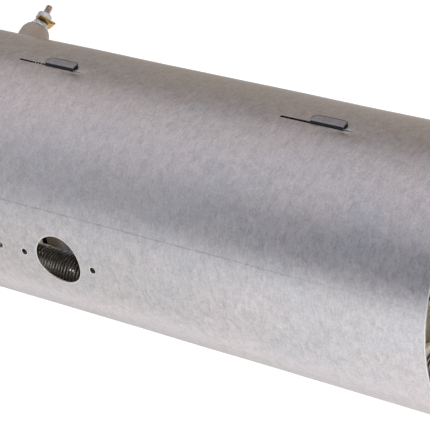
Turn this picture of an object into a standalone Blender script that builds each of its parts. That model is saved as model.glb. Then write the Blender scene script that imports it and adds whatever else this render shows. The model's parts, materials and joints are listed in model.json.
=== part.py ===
"""Tubular open-coil air heater: a galvanised sheet-steel duct with four resistance coils inside.

Frame: the duct's axis is X, with the outlet mouth at +X and the terminals near -X. The origin is
the middle of the duct. The centre web stands in the XZ plane, with its ears at +Z and -Z, and the
thermostat ports face -Y. Angles round the duct ("clock" angles) start at +Z and grow towards -Y.
"""

import math

import bmesh
import bpy
from mathutils import Matrix, Vector

# Driving dimensions, in metres and degrees.
GAP = 0.0003  # left between pieces that touch

DUCT_RADIUS = 0.0585
DUCT_LENGTH = 0.300
SHEET = 0.0006
DUCT_SIDES = 96
SEAM_CLOCK = -150.0
SEAM_LAP = 0.010
SEAM_STEP = 0.3  # degrees over which the lap's cut edge drops
SEAM_JOGGLE = 3.0  # degrees over which the overlapping sheet steps back down

PORT_RADIUS = 0.0119
PORT_SCREW_RADIUS = 0.0015
PORT_SCREW_SPACING = 0.0381
PORT_X = (-0.0338, -0.0858)

SLOT_LENGTH = 0.0358
SLOT_WIDTH = 0.0014
SLOT_X = (-0.0699, 0.0711)
EAR_OFFSET = 0.0049  # ear's centre past the slot's centre, towards the outlet
EAR_LENGTH = 0.0170
EAR_REACH = 0.0050
EAR_CORNER = 0.0026
EAR_NECK = 0.0010  # how far each end is cut in at the bend

WEB_SHEET = 0.0008
WEB_X = (-0.098, 0.136)
BEND_RADIUS = 0.0009  # of the web sheet's middle surface at each ear

COIL_RADIUS = 0.009
COIL_WALL = 0.0005
COIL_PITCH_RADIUS = 0.043
COIL_CLOCKS = (62.0, 145.0, 242.0, 325.0)
COIL_X = (-0.112, 0.142)
COIL_SIDES = 20

CARRIER_SHEET = 0.0008
CARRIER_X = (-0.104, 0.010, 0.124)
CARRIER_FLANGE = 0.0100
CARRIER_FLANGE_HALF = 0.026
CARRIER_EDGE_GAP = 0.0010
WINDOWS = ((84.0, 122.0, 0.036, 0.051), (10.0, 38.0, 0.032, 0.051))
CENTRE_WINDOW = (0.015, 0.008)  # distance from the axis, and radius

BUSHING_FLANGE_RADIUS = 0.0125
BUSHING_FLANGE = 0.0030
BUSHING_SIDES = 20

RIVET_SHANK = 0.0014
RIVET_HEAD = 0.0026
RIVET_HEAD_HEIGHT = 0.0010
RIVET_Z = (0.018, -0.018)

WIRE_RADIUS = 0.0008
LINK_BULGE = 0.0035  # how far the end links stand out past the coils

TERMINAL_X = -0.1325
TERMINAL_CLOCKS = (-61.1, -106.1)
TERMINAL_HOLE = 0.0046
STUD_RADIUS = 0.00175
STUD_BORE = 0.00205
STUD_CHAMFER = 0.0004
STUD_SIDES = 16
STUD_SPAN = (0.0430, 0.0824)  # from the duct's axis
CERAMIC_BASE_RADIUS = 0.0077
CERAMIC_TOP_RADIUS = 0.0055
CERAMIC_NECK_RADIUS = 0.0072
CERAMIC_NECK = 0.0027  # from the top down to the neck
CERAMIC_RIM = 0.0040
CERAMIC_CHAMFER = 0.0004
CERAMIC_TOP = 0.0697
SPIGOT_RADIUS = 0.0041
INNER_CERAMIC_RADIUS = 0.0062
INNER_CERAMIC_SPAN = (0.0504, 0.0572)
WASHER_RADIUS = 0.0045
NUT_FLATS = 0.00635
FLAT_WASHER_SPAN = (0.0700, 0.0709)
CLAMP_NUT_SPAN = (0.0712, 0.0728)
TAB_SPAN = (0.0731, 0.0739)
LOCK_WASHER_SPAN = (0.0742, 0.0747)
NUT_SPAN = (0.0750, 0.0776)
INNER_WASHER_SPAN = (0.0493, 0.0501)
INNER_NUT_SPAN = (0.0443, 0.0470)
LEAD_LEVEL = 0.0481  # the hooks of the leads, between the inner washer and the inner nut
HOOK_RADIUS = 0.0029
HOOK_ENTRY = (0.0034, 0.0055)  # where a lead comes up beside the stud, along the duct and round it
HOOK_TURNS = (-30.0, 0.0, 35.0, 65.0)
LEAD_START = -90.0  # where a lead leaves its coil's end, as an angle round the coil
LEAD_STRAIGHT = 0.0030
TAB_ANGLE = -40.3
TAB_ALONG = (-0.0040, 0.0069)
TAB_ACROSS = (-0.0032, 0.0055)
TAB_CORNER = 0.0007
TOOTH_COUNT = 12
TOOTH_RADII = (0.0039, 0.0034)

ROUND = 24  # sides of small round pieces

GALVANISED = ((0.55, 0.55, 0.57), 0.45, 1.0)
HEATED_STEEL = ((0.36, 0.31, 0.25), 0.50, 1.0)
CERAMIC = ((0.62, 0.56, 0.46), 0.60, 0.0)
WHITE_CERAMIC = ((0.80, 0.76, 0.68), 0.55, 0.0)
NICHROME = ((0.34, 0.32, 0.30), 0.40, 1.0)
ZINC = ((0.72, 0.75, 0.78), 0.28, 1.0)
BRASS = ((0.66, 0.46, 0.18), 0.32, 1.0)
STUD_STEEL = ((0.50, 0.44, 0.41), 0.45, 1.0)


def material(name, look):
    """One Principled material from a colour, a roughness and a metallic value."""
    made = bpy.data.materials.new(name)
    made.use_nodes = True
    shader = made.node_tree.nodes["Principled BSDF"]
    colour, roughness, metallic = look
    shader.inputs["Base Color"].default_value = (*colour, 1.0)
    shader.inputs["Roughness"].default_value = roughness
    shader.inputs["Metallic"].default_value = metallic
    return made


def place(name, source, look, location=(0.0, 0.0, 0.0), clock=0.0):
    """An object for a mesh, at a point, turned by a clock angle about the duct's axis."""
    placed = bpy.data.objects.new(name, source)
    placed.data.materials.clear()
    placed.data.materials.append(look)
    placed.location = location
    placed.rotation_euler = (math.radians(clock), 0.0, 0.0)
    bpy.context.collection.objects.link(placed)
    return placed


def finish_mesh(name, bm, sharp=35.0):
    """A mesh from a bmesh, with its faces out and its round sides smooth."""
    bmesh.ops.recalc_face_normals(bm, faces=bm.faces)
    made = bpy.data.meshes.new(name)
    bm.to_mesh(made)
    bm.free()
    made.shade_smooth()
    made.set_sharp_from_angle(angle=math.radians(sharp))
    return made


def cutter(name, source, location=(0.0, 0.0, 0.0), clock=0.0):
    """A guide object that only cuts others."""
    guide = bpy.data.objects.new(name, source)
    guide.location = location
    guide.rotation_euler = (math.radians(clock), 0.0, 0.0)
    guide.hide_render = True
    guide.display_type = "WIRE"
    bpy.context.collection.objects.link(guide)
    return guide


def boolean(target, guide, operation="DIFFERENCE"):
    modifier = target.modifiers.new(guide.name, "BOOLEAN")
    modifier.operation = operation
    modifier.solver = "EXACT"
    modifier.object = guide


def clock_point(radius, clock, x=0.0):
    """The point at a radius and a clock angle round the duct's axis."""
    turn = math.radians(clock)
    return Vector((x, -radius * math.sin(turn), radius * math.cos(turn)))


def turned(name, profile, sides, axis="Z", closed=True):
    """A turned body: (radius, height) points spun about Z or X.

    An open profile starts and ends on the axis.
    """
    bm = bmesh.new()
    if axis == "Z":
        points = [bm.verts.new((radius, 0.0, height)) for radius, height in profile]
        spin_axis = (0.0, 0.0, 1.0)
    else:
        points = [bm.verts.new((height, 0.0, radius)) for radius, height in profile]
        spin_axis = (1.0, 0.0, 0.0)
    edges = [bm.edges.new(pair) for pair in zip(points, points[1:])]
    if closed:
        edges.append(bm.edges.new((points[-1], points[0])))
    bmesh.ops.spin(
        bm, geom=points + edges, cent=(0.0, 0.0, 0.0), axis=spin_axis, dvec=(0.0, 0.0, 0.0),
        angle=2.0 * math.pi, steps=sides, use_merge=True, use_duplicate=False,
    )
    bmesh.ops.remove_doubles(bm, verts=bm.verts, dist=1e-6)
    return finish_mesh(name, bm)


def ring(name, outer, inner, low, high, sides):
    """A flat ring along Z whose outer radius is a function of the angle in degrees."""
    def bore(angle):
        return inner

    bm = bmesh.new()
    loops = [
        [
            bm.verts.new((
                radius(angle) * math.cos(math.radians(angle)),
                radius(angle) * math.sin(math.radians(angle)),
                height,
            ))
            for angle in (360.0 * k / sides for k in range(sides))
        ]
        for radius, height in ((outer, low), (outer, high), (bore, high), (bore, low))
    ]
    for first, second in zip(loops, loops[1:] + loops[:1]):
        for k in range(sides):
            after = (k + 1) % sides
            bm.faces.new((first[k], first[after], second[after], second[k]))
    return finish_mesh(name, bm)


def extruded(name, outline, low, high, axis="X"):
    """A prism of an outline of (y, z) points along X, or of (x, y) points along Z."""
    bm = bmesh.new()
    if axis == "X":
        start = [bm.verts.new((low, y, z)) for y, z in outline]
        rise = Vector((high - low, 0.0, 0.0))
    else:
        start = [bm.verts.new((x, y, low)) for x, y in outline]
        rise = Vector((0.0, 0.0, high - low))
    face = bm.faces.new(start)
    grown = bmesh.ops.extrude_face_region(bm, geom=[face])
    moved = [item for item in grown["geom"] if isinstance(item, bmesh.types.BMVert)]
    bmesh.ops.translate(bm, verts=moved, vec=rise)
    return finish_mesh(name, bm)


def arc(centre, radius, start, end, steps):
    """Points on an arc in a plane, from one angle in degrees to another."""
    return [
        (
            centre[0] + radius * math.cos(math.radians(start + (end - start) * k / steps)),
            centre[1] + radius * math.sin(math.radians(start + (end - start) * k / steps)),
        )
        for k in range(steps + 1)
    ]


def rod_mesh(name, radius, low, high, sides):
    """A plain closed cylinder along Z."""
    return turned(name, [(0.0, low), (radius, low), (radius, high), (0.0, high)], sides, closed=False)


def block_mesh(name, x_span, y_span, z_span):
    outline = [
        (y_span[0], z_span[0]), (y_span[1], z_span[0]), (y_span[1], z_span[1]), (y_span[0], z_span[1]),
    ]
    return extruded(name, outline, *x_span)


def lap_radius(clock):
    """The duct's outer radius, which is one sheet larger over the welded lap seam."""
    past = (clock - SEAM_CLOCK) % 360.0
    lap = math.degrees(SEAM_LAP / DUCT_RADIUS)
    if past <= 0.0 or past >= lap + SEAM_JOGGLE:
        return DUCT_RADIUS
    if past < SEAM_STEP:
        return DUCT_RADIUS + SHEET * past / SEAM_STEP
    if past <= lap:
        return DUCT_RADIUS + SHEET
    return DUCT_RADIUS + SHEET * (lap + SEAM_JOGGLE - past) / SEAM_JOGGLE


def duct_mesh():
    """The rolled sheet: inner and outer walls joined by the two end rims."""
    lap = math.degrees(SEAM_LAP / DUCT_RADIUS)
    seam = [SEAM_CLOCK + 360.0 + past for past in (0.0, SEAM_STEP, lap, lap + SEAM_JOGGLE)]
    regular = [360.0 * k / DUCT_SIDES for k in range(DUCT_SIDES)]
    kept = [clock for clock in regular if min(abs(clock - edge) for edge in seam) > 0.5]
    clocks = sorted(kept + seam)
    bm = bmesh.new()
    loops = [
        [bm.verts.new(clock_point(radius(clock), clock, x)) for clock in clocks]
        for x, radius in (
            (-DUCT_LENGTH / 2, lap_radius),
            (DUCT_LENGTH / 2, lap_radius),
            (DUCT_LENGTH / 2, lambda clock: DUCT_RADIUS - SHEET),
            (-DUCT_LENGTH / 2, lambda clock: DUCT_RADIUS - SHEET),
        )
    ]
    for first, second in zip(loops, loops[1:] + loops[:1]):
        for k in range(len(clocks)):
            after = (k + 1) % len(clocks)
            bm.faces.new((first[k], first[after], second[after], second[k]))
    return finish_mesh("duct", bm)


def duct(look):
    """The duct with its thermostat ports, screw holes, ear slots and terminal holes."""
    shell = place("duct_shell", duct_mesh(), look)
    inside = DUCT_RADIUS - 0.006
    outside = DUCT_RADIUS + 0.006
    port = rod_mesh("port_cutter", PORT_RADIUS, inside - 0.004, outside, 40)
    screw = rod_mesh("port_screw_cutter", PORT_SCREW_RADIUS, inside, outside, 12)
    hole = rod_mesh("terminal_cutter", TERMINAL_HOLE, inside, outside, 24)
    half_length = SLOT_LENGTH / 2
    half_width = SLOT_WIDTH / 2
    span = (inside, outside)
    slot = block_mesh("slot_cutter", (-half_length, half_length), (-half_width, half_width), span)
    for x in PORT_X:
        boolean(shell, cutter("port_cut", port, (x, 0.0, 0.0), 90.0))
        for side in (-1, 1):
            at = (x + side * PORT_SCREW_SPACING / 2, 0.0, 0.0)
            boolean(shell, cutter("port_screw_cut", screw, at, 90.0))
    for x in SLOT_X:
        for clock in (0.0, 180.0):
            boolean(shell, cutter("slot_cut", slot, (x, 0.0, 0.0), clock))
    for clock in TERMINAL_CLOCKS:
        boolean(shell, cutter("terminal_cut", hole, (TERMINAL_X, 0.0, 0.0), clock))


def ear_rows(base):
    """Heights up an ear through its neck, bend and flat, and how far its rounded corners cut in at each."""
    straight = DUCT_RADIUS + GAP + WEB_SHEET / 2 - BEND_RADIUS
    bend = BEND_RADIUS * math.pi / 2
    tip = straight + bend + EAR_REACH - BEND_RADIUS
    heights = [base]
    heights += [straight + bend * k / 4 for k in range(5)]
    heights += [tip - EAR_CORNER]
    heights += [tip - EAR_CORNER * (1.0 - math.sin(math.radians(turn))) for turn in (25, 50, 70, 90)]
    rows = []
    for height in heights:
        past = max(0.0, height - (tip - EAR_CORNER))
        inset = EAR_CORNER - math.sqrt(max(0.0, EAR_CORNER**2 - past**2))
        rows.append((height, inset if height > straight + bend else EAR_NECK))
    return rows


def folded(point):
    """Where a point of the flat web sheet lies once its ears are bent over towards +Y."""
    x, offset, height = point
    side = math.copysign(1.0, height)
    lying = DUCT_RADIUS + GAP + WEB_SHEET / 2
    straight = lying - BEND_RADIUS
    past = abs(height) - straight
    if past <= 0.0:
        return Vector(point)
    bend = BEND_RADIUS * math.pi / 2
    if past < bend - 1e-7:
        turn = past / BEND_RADIUS
        reach = BEND_RADIUS - offset
        rise = straight + reach * math.sin(turn)
        return Vector((x, BEND_RADIUS - reach * math.cos(turn), side * rise))
    turn = math.asin(BEND_RADIUS / lying) + (past - bend) / lying
    radius = lying - offset
    return Vector((x, radius * math.sin(turn), side * radius * math.cos(turn)))


def web(look):
    """The centre web: a flat sheet across the duct. Its four ears pass the slots and fold over outside."""
    edge = DUCT_RADIUS - SHEET - 0.0006
    rows = ear_rows(edge)
    ears = [(x + EAR_OFFSET - EAR_LENGTH / 2, x + EAR_OFFSET + EAR_LENGTH / 2) for x in SLOT_X]
    bm = bmesh.new()
    outline = []
    ear_bases = []
    for side in (1, -1):
        spans = ears if side == 1 else [(high, low) for low, high in reversed(ears)]
        ends = WEB_X if side == 1 else (WEB_X[1], WEB_X[0])
        outline.append(bm.verts.new((ends[0], 0.0, side * edge)))
        for first, second in spans:
            pair = [bm.verts.new((x, 0.0, side * edge)) for x in (first, second)]
            outline += pair
            ear_bases.append((side, pair))
        outline.append(bm.verts.new((ends[1], 0.0, side * edge)))
    bm.faces.new(outline)
    for side, pair in ear_bases:
        row = pair
        first, second = pair[0].co.x, pair[1].co.x
        inward = math.copysign(1.0, second - first)
        for height, inset in rows[1:]:
            above = [
                bm.verts.new((first + inward * inset, 0.0, side * height)),
                bm.verts.new((second - inward * inset, 0.0, side * height)),
            ]
            bm.faces.new((row[0], above[0], above[1], row[1]))
            row = above
    bmesh.ops.recalc_face_normals(bm, faces=bm.faces)
    bmesh.ops.translate(bm, verts=bm.verts, vec=(0.0, -WEB_SHEET / 2, 0.0))
    grown = bmesh.ops.extrude_face_region(bm, geom=list(bm.faces))
    moved = [item for item in grown["geom"] if isinstance(item, bmesh.types.BMVert)]
    bmesh.ops.translate(bm, verts=moved, vec=(0.0, WEB_SHEET, 0.0))
    for vert in bm.verts:
        vert.co = folded(vert.co)
    plate = place("centre_web", finish_mesh("web", bm), look)
    for x, z in rivet_places():
        boolean(plate, rivet_hole(x, z))


def rivet_places():
    return [(x + CARRIER_SHEET + CARRIER_FLANGE / 2, z) for x in CARRIER_X for z in RIVET_Z]


def rivet_hole(x, z):
    """A cutter across the web for one rivet."""
    reach = WEB_SHEET + CARRIER_SHEET + 4 * GAP
    made = rod_mesh("rivet_cutter", RIVET_SHANK + GAP, -reach, reach, 12)
    made.transform(Matrix.Rotation(math.radians(90.0), 4, "X"))
    return cutter("rivet_cut", made, (x, 0.0, z))


def sector(first, last, low, high):
    """A window between two clock angles and two radii, as (y, z) points."""
    steps = 6
    clocks = [first + (last - first) * k / steps for k in range(steps + 1)]
    outer = [clock_point(high, clock) for clock in clocks]
    inner = [clock_point(low, clock) for clock in reversed(clocks)]
    return [(point.y, point.z) for point in outer + inner]


def notch(clock):
    """The open notch that a coil's bushing slides into, as (y, z) points."""
    centre = clock_point(COIL_PITCH_RADIUS, clock)
    outward = clock_point(1.0, clock)
    across = Vector((0.0, outward.z, -outward.y))
    radius = bushing_groove() + GAP
    mouth = 0.020
    points = []
    for k in range(13):
        turn = math.pi * k / 12
        points.append(centre - outward * radius * math.sin(turn) + across * radius * math.cos(turn))
    points.append(centre - across * radius + outward * mouth)
    points.append(centre + across * radius + outward * mouth)
    return [(point.y, point.z) for point in points]


def bushing_groove():
    """The radius of a bushing's groove: its bore clears the coil, and 0.9 mm of wall is left."""
    return COIL_RADIUS + GAP + 0.0009


def carriers(look):
    """Half-round carriers either side of the web, with notches for the bushings and windows for the air."""
    chord = -(WEB_SHEET / 2 + GAP)
    radius = DUCT_RADIUS - SHEET - CARRIER_EDGE_GAP
    half = math.degrees(math.acos(-chord / radius))
    half_disc = arc((0.0, 0.0), radius, 180.0 - half, 180.0 + half, 24)
    body = extruded("carrier", half_disc, 0.0, CARRIER_SHEET)
    flange = cutter("carrier_flange", block_mesh(
        "flange",
        (0.0, CARRIER_SHEET + CARRIER_FLANGE),
        (chord - CARRIER_SHEET, chord),
        (-CARRIER_FLANGE_HALF, CARRIER_FLANGE_HALF),
    ))
    through = (-CARRIER_SHEET, 2 * CARRIER_SHEET)
    cuts = [cutter("notch_cut", extruded("notch", notch(clock), *through)) for clock in COIL_CLOCKS[:2]]
    cuts += [cutter("window_cut", extruded("window", sector(*window), *through)) for window in WINDOWS]
    distance, size = CENTRE_WINDOW
    centre = arc((-distance, 0.0), size, 0.0, 342.0, 19)
    cuts.append(cutter("centre_window_cut", extruded("centre_window", centre, *through)))
    for number, x in enumerate(CARRIER_X, 1):
        for side, clock in (("front", 0.0), ("rear", 180.0)):
            name = f"carrier_{side}_{number}"
            carrier = place(name, body.copy(), look, (x, 0.0, 0.0), clock)
            boolean(carrier, moved_copy(flange, x, clock), "UNION")
            for guide in cuts:
                boolean(carrier, moved_copy(guide, x, clock))
            for rivet_x, z in rivet_places():
                if abs(rivet_x - x) < CARRIER_FLANGE:
                    boolean(carrier, rivet_hole(rivet_x, z))
    for guide in cuts + [flange]:
        bpy.data.objects.remove(guide, do_unlink=True)


def moved_copy(guide, x, clock):
    return cutter(guide.name, guide.data, (x, 0.0, 0.0), clock)


def bushings(look):
    """The ceramic spools that carry the coils through each carrier."""
    groove = bushing_groove()
    bore = COIL_RADIUS + GAP
    slack = CARRIER_SHEET / 2 + GAP
    end = slack + BUSHING_FLANGE
    flange = BUSHING_FLANGE_RADIUS
    profile = [
        (bore, -end), (flange, -end), (flange, -slack), (groove, -slack),
        (groove, slack), (flange, slack), (flange, end), (bore, end),
    ]
    spool = turned("bushing", profile, BUSHING_SIDES, axis="X")
    for number, x in enumerate(CARRIER_X, 1):
        for coil, clock in enumerate(COIL_CLOCKS, 1):
            at = clock_point(COIL_PITCH_RADIUS, clock, x + CARRIER_SHEET / 2)
            place(f"bushing_{number}_coil_{coil}", spool, look, at)


def coils(look):
    """Each coil of resistance wire as a sleeve of its outer diameter."""
    low, high = COIL_X
    inner = COIL_RADIUS - COIL_WALL
    profile = [(inner, low), (COIL_RADIUS, low), (COIL_RADIUS, high), (inner, high)]
    sleeve = turned("coil", profile, COIL_SIDES, axis="X")
    for number, clock in enumerate(COIL_CLOCKS, 1):
        place(f"coil_{number}", sleeve, look, clock_point(COIL_PITCH_RADIUS, clock))


def smooth_route(knots, count):
    """Evenly placed points on a Catmull-Rom curve through the route's own points."""
    padded = [2 * knots[0] - knots[1], *knots, 2 * knots[-1] - knots[-2]]
    points = []
    for k in range(count):
        along = (len(knots) - 1) * k / (count - 1)
        span = min(int(along), len(knots) - 2)
        t = along - span
        before, start, end, after = padded[span : span + 4]
        points.append(0.5 * (
            2 * start
            + (end - before) * t
            + (2 * before - 5 * start + 4 * end - after) * t**2
            + (3 * start - before - 3 * end + after) * t**3
        ))
    return points


def wire(name, points, look):
    """A round wire along a route, with closed ends."""
    curve = bpy.data.curves.new(name, "CURVE")
    curve.dimensions = "3D"
    curve.bevel_depth = WIRE_RADIUS
    curve.bevel_resolution = 2
    curve.use_fill_caps = True
    curve.materials.append(look)
    spline = curve.splines.new("POLY")
    spline.points.add(len(points) - 1)
    for spot, point in zip(spline.points, points):
        spot.co = (*point, 1.0)
    bpy.context.collection.objects.link(bpy.data.objects.new(name, curve))


def coil_tail(number, x, turn):
    """A point on the middle of a coil's wall, at an angle in degrees about the coil's own axis."""
    centre = clock_point(COIL_PITCH_RADIUS, COIL_CLOCKS[number - 1], x)
    return centre + clock_point(COIL_RADIUS - COIL_WALL / 2, turn)


def links(look):
    """The wires that join coil 1 to 2 and coil 3 to 4 at the outlet end."""
    end = COIL_X[1] + GAP
    for number, (first, second) in enumerate(((1, 2), (3, 4)), 1):
        flip = 180.0 * (number - 1)
        start = coil_tail(first, end, 180.0 + flip)
        finish = coil_tail(second, end, flip)
        out = Vector((LINK_BULGE - GAP - WIRE_RADIUS, 0.0, 0.0))
        knots = [start, start + out * 0.5]
        knots += [start.lerp(finish, part) + out for part in (0.12, 0.5, 0.88)]
        knots += [finish + out * 0.5, finish]
        wire(f"coil_link_{number}", smooth_route(knots, 19), look)


def beside_stud(terminal, along, across):
    """A point at the level of a terminal's hooks, given along the duct and round it from the stud."""
    up = clock_point(1.0, TERMINAL_CLOCKS[terminal - 1])
    side = up.cross(Vector((1.0, 0.0, 0.0)))
    return Vector((TERMINAL_X + along, 0.0, 0.0)) + up * LEAD_LEVEL + side * across


def leads(look):
    """The wires from each coil's inlet end to a hook round a terminal's stud.

    A route gives the terminal, the coil, the side of the stud that the hook goes round, and the
    wire's own points across the duct.
    """
    routes = (
        (1, 4, 1, ((-0.1240, 0.0345, 0.0330),)),
        (
            1, 1, -1,
            (
                (-0.1190, -0.0150, 0.0250), (-0.1245, 0.0030, 0.0270),
                (-0.1310, 0.0200, 0.0300), (-0.1369, 0.0345, 0.0330),
            ),
        ),
        (2, 3, 1, ((-0.1240, 0.0460, -0.0210),)),
        (2, 2, -1, ((-0.1195, 0.0010, -0.0300), (-0.1280, 0.0190, -0.0275), (-0.1369, 0.0400, -0.0245))),
    )
    for terminal, coil, side, middle in routes:
        arrival = -1 if terminal == 1 else 1
        knots = [coil_tail(coil, COIL_X[0] - 2 * GAP, LEAD_START)]
        knots.append(knots[0] + Vector((-LEAD_STRAIGHT, 0.0, 0.0)))
        knots += [Vector(point) for point in middle]
        knots.append(beside_stud(terminal, side * HOOK_ENTRY[0], arrival * HOOK_ENTRY[1]))
        for turn in HOOK_TURNS:
            along = side * HOOK_RADIUS * math.cos(math.radians(turn))
            across = -arrival * HOOK_RADIUS * math.sin(math.radians(turn))
            knots.append(beside_stud(terminal, along, across))
        wire(f"lead_terminal_{terminal}_coil_{coil}", smooth_route(knots, 3 * len(knots) - 2), look)


def rivets(look):
    """The rivets that hold each pair of carriers to the web."""
    seat = WEB_SHEET / 2 + CARRIER_SHEET + 2 * GAP
    top = seat + RIVET_HEAD_HEIGHT
    rim = seat + RIVET_HEAD_HEIGHT * 0.3
    crown = RIVET_HEAD * 0.6
    half = [(RIVET_SHANK, seat), (RIVET_HEAD, seat), (RIVET_HEAD, rim), (crown, top), (0.0, top)]
    profile = [(radius, -height) for radius, height in reversed(half)] + half
    body = turned("rivet", profile, 12, closed=False)
    for number, (x, z) in enumerate(rivet_places(), 1):
        place(f"carrier_rivet_{number}", body, look, (x, 0.0, z), 90.0)


def hexagon(angle):
    """The radius of a nut's outline at an angle, with a corner at 30 degrees."""
    return NUT_FLATS / 2 / math.cos(math.radians((angle + 30.0) % 60.0 - 30.0))


def teeth(angle):
    """The radius of a toothed washer, which alternates between tooth and gap."""
    return TOOTH_RADII[round(angle / (180.0 / TOOTH_COUNT)) % 2]


def tab_mesh():
    """The brass plate that the supply wire's connector goes on, with a hole for the stud."""
    turn = math.radians(TAB_ANGLE)
    along = Vector((math.cos(turn), math.sin(turn), 0.0))
    across = Vector((-along.y, along.x, 0.0))
    corners = ((1, 1, 0.0), (0, 1, 90.0), (0, 0, 180.0), (1, 0, 270.0))
    outline = []
    for far, wide, start in corners:
        centre = (
            TAB_ALONG[far] + TAB_CORNER * (-1 if far else 1),
            TAB_ACROSS[wide] + TAB_CORNER * (-1 if wide else 1),
        )
        outline += arc(centre, TAB_CORNER, start, start + 90.0, 2)
    points = [along * u + across * v for u, v in outline]
    return extruded("tab", [(point.x, point.y) for point in points], *TAB_SPAN, axis="Z")


def washer(angle):
    return WASHER_RADIUS


def inner_ceramic(angle):
    return INNER_CERAMIC_RADIUS


def stud_mesh():
    """A plain rod with chamfered ends, in place of the threaded stud."""
    low, tip = STUD_SPAN
    end = STUD_RADIUS - STUD_CHAMFER
    profile = [
        (0.0, low), (end, low), (STUD_RADIUS, low + STUD_CHAMFER),
        (STUD_RADIUS, tip - STUD_CHAMFER), (end, tip), (0.0, tip),
    ]
    return turned("stud", profile, STUD_SIDES, closed=False)


def outer_ceramic_mesh():
    """The tapered insulator outside, with the spigot that passes through the duct's wall."""
    base = DUCT_RADIUS + GAP
    foot = INNER_CERAMIC_SPAN[1] + GAP
    profile = [
        (STUD_BORE, foot), (SPIGOT_RADIUS, foot), (SPIGOT_RADIUS, base), (CERAMIC_BASE_RADIUS, base),
        (CERAMIC_BASE_RADIUS, base + CERAMIC_RIM), (CERAMIC_NECK_RADIUS, CERAMIC_TOP - CERAMIC_NECK),
        (CERAMIC_TOP_RADIUS, CERAMIC_TOP - CERAMIC_CHAMFER),
        (CERAMIC_TOP_RADIUS - CERAMIC_CHAMFER, CERAMIC_TOP), (STUD_BORE, CERAMIC_TOP),
    ]
    return turned("outer_ceramic", profile, ROUND)


def terminals(looks):
    """Each terminal: ceramics either side of the duct's wall, the stud through them, and what it clamps."""
    inner_body = ring("inner_ceramic", inner_ceramic, STUD_BORE, *INNER_CERAMIC_SPAN, ROUND)
    pieces = (
        ("outer_ceramic", outer_ceramic_mesh(), "ceramic"),
        ("inner_ceramic", inner_body, "ceramic"),
        ("stud", stud_mesh(), "stud"),
        ("flat_washer", ring("flat_washer", washer, STUD_BORE, *FLAT_WASHER_SPAN, ROUND), "zinc"),
        ("clamp_nut", ring("clamp_nut", hexagon, STUD_BORE, *CLAMP_NUT_SPAN, ROUND), "zinc"),
        ("tab", tab_mesh(), "brass"),
        ("lock_washer", ring("lock_washer", teeth, STUD_BORE, *LOCK_WASHER_SPAN, 2 * TOOTH_COUNT), "zinc"),
        ("nut", ring("nut", hexagon, STUD_BORE, *NUT_SPAN, ROUND), "zinc"),
        ("inner_washer", ring("inner_washer", washer, STUD_BORE, *INNER_WASHER_SPAN, ROUND), "zinc"),
        ("inner_nut", ring("inner_nut", hexagon, STUD_BORE, *INNER_NUT_SPAN, ROUND), "zinc"),
    )
    bore = rod_mesh("tab_bore", STUD_BORE, TAB_SPAN[0] - 0.001, TAB_SPAN[1] + 0.001, STUD_SIDES)
    for index, clock in enumerate(TERMINAL_CLOCKS):
        at = (TERMINAL_X, 0.0, 0.0)
        for name, source, look in pieces:
            made = place(f"terminal_{index + 1}_{name}", source.copy(), looks[look], at, clock)
            if name == "tab":
                boolean(made, cutter("tab_bore_cut", bore, at, clock))


def build():
    for old in list(bpy.data.objects):
        bpy.data.objects.remove(old, do_unlink=True)
    galvanised = material("galvanised_sheet", GALVANISED)
    heated = material("heated_sheet", HEATED_STEEL)
    duct(galvanised)
    web(galvanised)
    carriers(heated)
    bushings(material("bushing_ceramic", WHITE_CERAMIC))
    nichrome = material("resistance_wire", NICHROME)
    coils(nichrome)
    links(nichrome)
    leads(nichrome)
    rivets(material("rivet_zinc", ZINC))
    terminals({
        "ceramic": material("terminal_ceramic", CERAMIC),
        "zinc": material("terminal_zinc", ZINC),
        "brass": material("terminal_brass", BRASS),
        "stud": material("terminal_stud", STUD_STEEL),
    })


build()
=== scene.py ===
"""A tubular open-coil air heater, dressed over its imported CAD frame.

Row frame, in metres: X runs along the duct to its outlet, +Z through the web's upper ears, and the
thermostat ports face -Y. Clock angles, in degrees, run round the X axis from +Z towards -Y.
"""

import json
from math import acos, asin, atan2, cos, degrees, pi, radians, sin, sqrt, tan

import bmesh
import bpy
import numpy as np
from mathutils import Matrix, Vector
from mathutils.geometry import delaunay_2d_cdt


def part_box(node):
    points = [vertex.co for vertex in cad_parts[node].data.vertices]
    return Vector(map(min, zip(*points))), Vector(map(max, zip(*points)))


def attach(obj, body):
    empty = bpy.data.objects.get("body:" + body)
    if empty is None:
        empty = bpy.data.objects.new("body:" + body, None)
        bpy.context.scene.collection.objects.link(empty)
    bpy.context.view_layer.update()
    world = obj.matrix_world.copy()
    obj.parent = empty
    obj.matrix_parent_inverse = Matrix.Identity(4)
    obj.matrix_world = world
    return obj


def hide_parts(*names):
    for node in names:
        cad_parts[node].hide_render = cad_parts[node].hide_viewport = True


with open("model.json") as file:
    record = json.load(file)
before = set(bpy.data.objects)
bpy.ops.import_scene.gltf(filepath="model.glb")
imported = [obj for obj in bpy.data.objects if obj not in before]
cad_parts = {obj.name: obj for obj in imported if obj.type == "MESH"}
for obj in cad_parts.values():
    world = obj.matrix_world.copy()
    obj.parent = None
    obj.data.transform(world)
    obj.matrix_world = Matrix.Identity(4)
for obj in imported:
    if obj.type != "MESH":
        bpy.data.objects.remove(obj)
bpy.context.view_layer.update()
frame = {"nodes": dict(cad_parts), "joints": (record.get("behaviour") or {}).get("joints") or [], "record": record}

BODY = "heater_body"
X_AXIS, Y_AXIS, Z_AXIS = np.eye(3)
GAP = 0.0003  # left between CAD pieces that touch

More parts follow.
